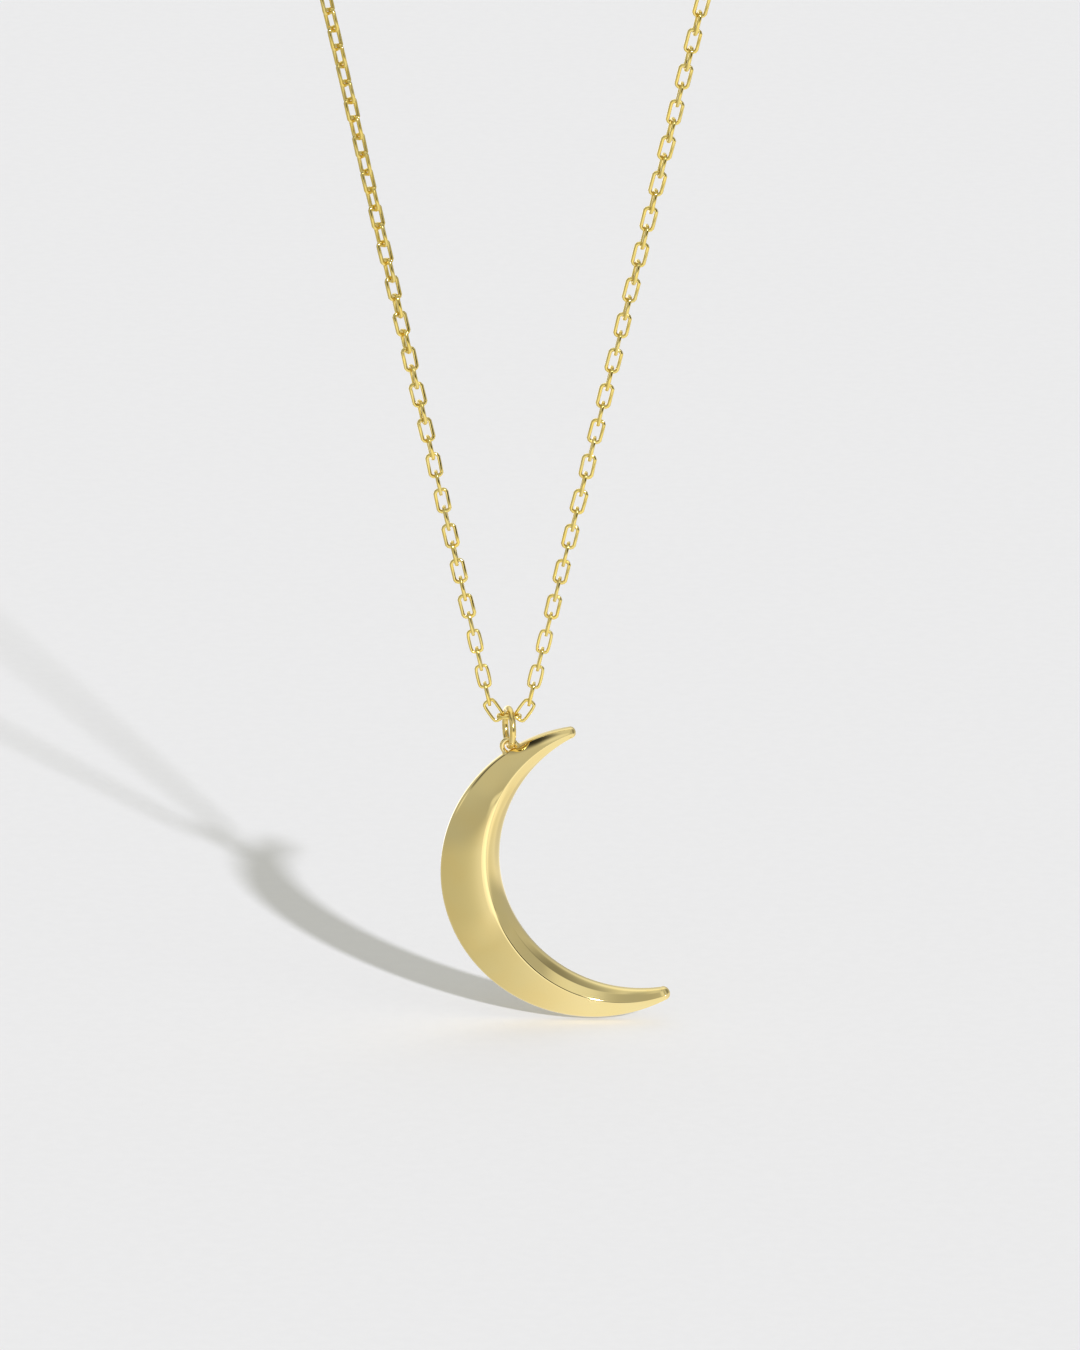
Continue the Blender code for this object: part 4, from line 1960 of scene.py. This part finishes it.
NAPE_RINGS = (
    JumpRing(
        "catch_ring_wire", "catch_ring", 1.7 * MM, 0.6 * MM, "extension_gold", math.radians(140.0)
    ),
    JumpRing(
        "jump_ring_left_wire",
        "jump_ring_left",
        1.25 * MM,
        0.5 * MM,
        "ring_gold",
        math.radians(70.0),
    ),
    JumpRing(
        "jump_ring_right_wire",
        "jump_ring_right",
        1.25 * MM,
        0.5 * MM,
        "ring_gold",
        math.radians(110.0),
    ),
)


@dataclass
class SpringRingClasp:
    """A hollow ring with a gate, a sliding bolt, its lug, its spring and an eyelet."""

    route: Route
    finishes: Finishes
    radius: float = 2.2 * MM
    tube: float = 1.1 * MM
    bore: float = 0.76 * MM
    bolt: float = 0.6 * MM
    gate_start: float = math.radians(35.0)
    gate_end: float = math.radians(85.0)
    overlap: float = math.radians(8.0)
    socket: float = math.radians(14.0)
    tail: float = math.radians(135.0)
    travel: float = math.radians(55.0)
    lug_at: float = math.radians(94.0)
    lug_stem: float = 0.26 * MM
    lug_knob: float = 0.6 * MM
    slot_width: float = 0.44 * MM
    slot_spare: float = math.radians(6.0)
    bore_end: float = math.radians(264.0)
    eyelet_radius: float = 0.6 * MM
    eyelet_wire: float = 0.4 * MM
    past: float = math.radians(5.0)
    solder_spread: float = 1.35
    foot_depth: float = 0.12 * MM

    def build(self) -> list[Piece]:
        """Builds the clasp's ring, bolt and eyelet; the spring keeps its CAD shape, and main gives
        it its steel.

        Returns:
            The pieces.
        """
        return [self.ring(), self.bolt_piece(), *self.eyelet()]

    def upright(self) -> Matrix:
        """Turns a wire bent in the local XY plane to the clasp's plane and place."""
        return frame_matrix(self.route.nape, X_AXIS, Z_AXIS)

    def ring(self) -> Piece:
        """The hollow body, bored from the gate and slotted for the lug.

        Returns:
            The piece.
        """
        far_end = self.gate_start + math.tau
        sweep = far_end - self.gate_end
        ring = spun_wire("clasp_body", self.tube, self.radius, self.gate_end, sweep, 80, sides=28)
        start = self.gate_end - self.past
        bore_sweep = self.bore_end - self.gate_end + self.past
        mouth, depth = far_end - self.socket, self.socket + self.past
        cutters = [
            spun_wire("bore", self.bore, self.radius, start, bore_sweep, 54, sides=24),
            spun_wire("socket", self.bore, self.radius, mouth, depth, 8, sides=24),
            self.slot_cutter(),
        ]
        for cutter in cutters:
            cut(ring, cutter, "DIFFERENCE")
        ease(ring, 0.025 * MM, 2, 50.0)
        place(ring, self.upright())
        smooth(ring)
        self.finishes.dress(ring, "clasp_gold")
        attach(ring, "neck")
        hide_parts("clasp_ring")
        return ring

    def slot_cutter(self) -> Piece:
        """A curved bar that cuts the lug's slot, from a rectangle spun about the axis.

        Returns:
            The cutter.
        """
        start = self.gate_end - self.past
        sweep = self.lug_at + self.travel + self.slot_spare - start
        deselect_everything()
        bpy.ops.mesh.primitive_plane_add(size=1.0, rotation=(QUARTER, 0.0, 0.0))
        bar = named("slot")
        place(bar, Matrix.Diagonal((self.tube, 1.0, self.slot_width, 1.0)))
        place(bar, Matrix.Translation((self.radius + self.tube / 2.0, 0.0, 0.0)))
        keep_outline(bar)
        spin(bar, 20, sweep)
        face_middle(bar, start + sweep / 2.0)
        cap(bar)
        close_up(bar)
        return bar

    def bolt_piece(self) -> Piece:
        """The curved bolt with a rounded nose, and the lug that a fingernail pulls.

        Returns:
            The piece.
        """
        start = self.gate_start - self.overlap
        sweep = self.tail - start
        rod = spun_wire("clasp_bolt_rod", self.bolt, self.radius, start, sweep, 36, sides=24)
        ease(rod, 0.09 * MM, 3)
        outward = Vector((math.cos(self.lug_at), math.sin(self.lug_at), 0.0))
        knob_at = self.radius + self.tube / 2.0 + self.lug_knob / 2.0 + self.slot_width / 4.0
        deselect_everything()
        stem_length = knob_at - self.radius
        bpy.ops.mesh.primitive_cylinder_add(
            vertices=20,
            radius=self.lug_stem / 2.0,
            depth=stem_length,
            location=outward * (self.radius + stem_length / 2.0),
        )
        stem = named("stem")
        stem.rotation_euler = (QUARTER, 0.0, self.lug_at - QUARTER)
        bpy.context.view_layer.update()
        place(stem, Matrix.Identity(4))
        deselect_everything()
        bpy.ops.mesh.primitive_uv_sphere_add(
            segments=28, ring_count=16, radius=self.lug_knob / 2.0, location=outward * knob_at
        )
        knob = named("knob")
        place(knob, Matrix.Identity(4))
        cut(rod, stem, "UNION")
        cut(rod, knob, "UNION")
        place(rod, self.upright())
        smooth(rod)
        self.finishes.dress(rod, "bolt_gold")
        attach(rod, "clasp_bolt")
        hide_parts("clasp_bolt")
        return rod

    def eyelet(self) -> list[Piece]:
        """The small loop on the clasp's back that the left jump ring passes through.

        Returns:
            The piece.
        """
        low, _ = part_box("clasp_eyelet")
        nape = self.route.nape
        centre = Vector((low.x + self.eyelet_wire / 2.0 + self.eyelet_radius, nape.y, nape.z))
        base = nape.x - self.radius - self.tube / 2.0
        leg = base - centre.x + self.foot_depth
        return staple(
            "clasp_eyelet_wire",
            "clasp_eyelet",
            frame_matrix(centre, Z_AXIS, -X_AXIS),
            self.eyelet_radius,
            self.eyelet_wire,
            leg,
            self.solder_spread,
            self.finishes,
            ("clasp_gold", "neck"),
        )


# -------------------------------------------------------------- the extension


@dataclass
class Extension:
    """The extension chain at the nape, and the bead on its headpin."""

    finishes: Finishes
    chain: CableChain = field(default_factory=lambda: EXTENSION_CHAIN)
    count: int = 16
    pin_wire: float = 0.5 * MM
    eye_radius: float = 0.8 * MM
    eye_opening: float = math.radians(16.0)
    head: float = 1.3 * MM
    head_height: float = 0.3 * MM
    bead: float = 3.4 * MM
    clearance: float = 0.08 * MM

    def build(self) -> list[Piece]:
        """Builds the extension.

        Returns:
            The pieces.
        """
        model = self.chain.shape.model("extension_link_model", levels=1)
        pieces = []
        for number in range(1, self.count + 1):
            node = f"extension_link_{number:02d}"
            low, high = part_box(node)
            size = high - low
            across = Y_AXIS if size.y > size.x else X_AXIS
            matrix = frame_matrix((low + high) / 2.0, -Z_AXIS, across)
            piece = copy_of(model, f"extension_cable_link_{number:02d}", matrix)
            self.finishes.dress(piece, "extension_gold")
            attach(piece, f"extension_{number:02d}")
            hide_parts(node)
            pieces.append(piece)
        bpy.data.objects.remove(model, do_unlink=True)
        pieces += [self.headpin(), self.bead_piece()]
        return pieces

    def headpin(self) -> Piece:
        """A wire with an eye bent at its top and a flat head under the bead.

        Returns:
            The piece.
        """
        low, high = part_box("headpin")
        middle = (low + high) / 2.0
        eye = Vector((middle.x, middle.y, high.z - self.pin_wire / 2.0 - self.eye_radius))
        turn = math.tau - self.eye_opening
        ring = spun_wire(
            "headpin_wire", self.pin_wire, self.eye_radius, -QUARTER, turn, 56, sides=20
        )
        place(ring, frame_matrix(eye, Y_AXIS, Z_AXIS))
        shank_top = eye.z - self.eye_radius
        shank_end = low.z + self.head_height / 2.0
        deselect_everything()
        bpy.ops.mesh.primitive_cylinder_add(
            vertices=20,
            radius=self.pin_wire / 2.0,
            depth=shank_top - shank_end,
            location=(eye.x, eye.y, (shank_top + shank_end) / 2.0),
        )
        shank = named("shank")
        place(shank, Matrix.Identity(4))
        deselect_everything()
        bpy.ops.mesh.primitive_cylinder_add(
            vertices=40,
            radius=self.head / 2.0,
            depth=self.head_height,
            location=(eye.x, eye.y, low.z + self.head_height / 2.0),
        )
        head = named("head")
        place(head, Matrix.Identity(4))
        ease(head, 0.1 * MM, 4)
        cut(ring, shank, "UNION")
        cut(ring, head, "UNION")
        smooth(ring)
        self.finishes.dress(ring, "extension_gold")
        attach(ring, "headpin")
        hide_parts("headpin")
        return ring

    def bead_piece(self) -> Piece:
        """A round bead, drilled through and softened at the mouths of its hole.

        Returns:
            The piece.
        """
        low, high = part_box("bead")
        middle = (low + high) / 2.0
        bore = self.pin_wire / 2.0 + self.clearance
        deselect_everything()
        bpy.ops.mesh.primitive_uv_sphere_add(segments=48, ring_count=32, radius=self.bead / 2.0)
        bead = named("bead_ball")
        edit(bead)
        pick(bead, lambda p: math.hypot(p.x, p.y) < bore)
        bpy.ops.mesh.delete(type="VERT")
        bpy.ops.mesh.select_mode(type="EDGE")
        bpy.ops.mesh.select_non_manifold()
        bpy.ops.mesh.bridge_edge_loops()
        leave_edit()
        self.true_bore(bead, bore)
        ease(bead, 0.05 * MM, 3, 45.0)
        close_up(bead)
        place(bead, Matrix.Translation(middle))
        smooth(bead)
        self.finishes.dress(bead, "extension_gold")
        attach(bead, "bead")
        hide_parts("bead")
        return bead

    def true_bore(self, bead: Piece, bore: float) -> None:
        """Draws the hole's rims in to the bore's own radius.

        Args:
            bead: The drilled bead.
            bore: The hole's radius.
        """
        half = math.sqrt((self.bead / 2.0) ** 2 - bore**2)
        inner = min(math.hypot(v.co.x, v.co.y) for v in bead.data.vertices)
        for vertex in bead.data.vertices:
            if math.hypot(vertex.co.x, vertex.co.y) < inner * 1.01:
                scale = bore / math.hypot(vertex.co.x, vertex.co.y)
                vertex.co.x *= scale
                vertex.co.y *= scale
                vertex.co.z = math.copysign(half, vertex.co.z)


# ----------------------------------------------------------------------- main


def report(pieces: Iterable[Piece]) -> None:
    """Logs each piece's name and size."""
    for piece in pieces:
        LOG.info("%s: %d faces", piece.name, len(piece.data.polygons))


def main() -> None:
    """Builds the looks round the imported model."""
    logging.basicConfig(level=logging.INFO, format="%(name)s %(message)s")
    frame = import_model()
    finishes = Finishes()
    route = Route()
    makers = (
        Chain(route, finishes),
        Pendant(route, finishes),
        SpringRingClasp(route, finishes),
        Extension(finishes),
    )
    for maker in makers:
        report(maker.build())
    report(ring.build(finishes, "neck") for ring in NAPE_RINGS)
    spring = frame["nodes"]["clasp_spring"]
    spring.data.materials.clear()
    spring.data.materials.append(finishes.by_slot["clasp_steel"])
    Stage().set_up(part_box("crescent")[0].z)


if __name__ == "__main__":
    main()
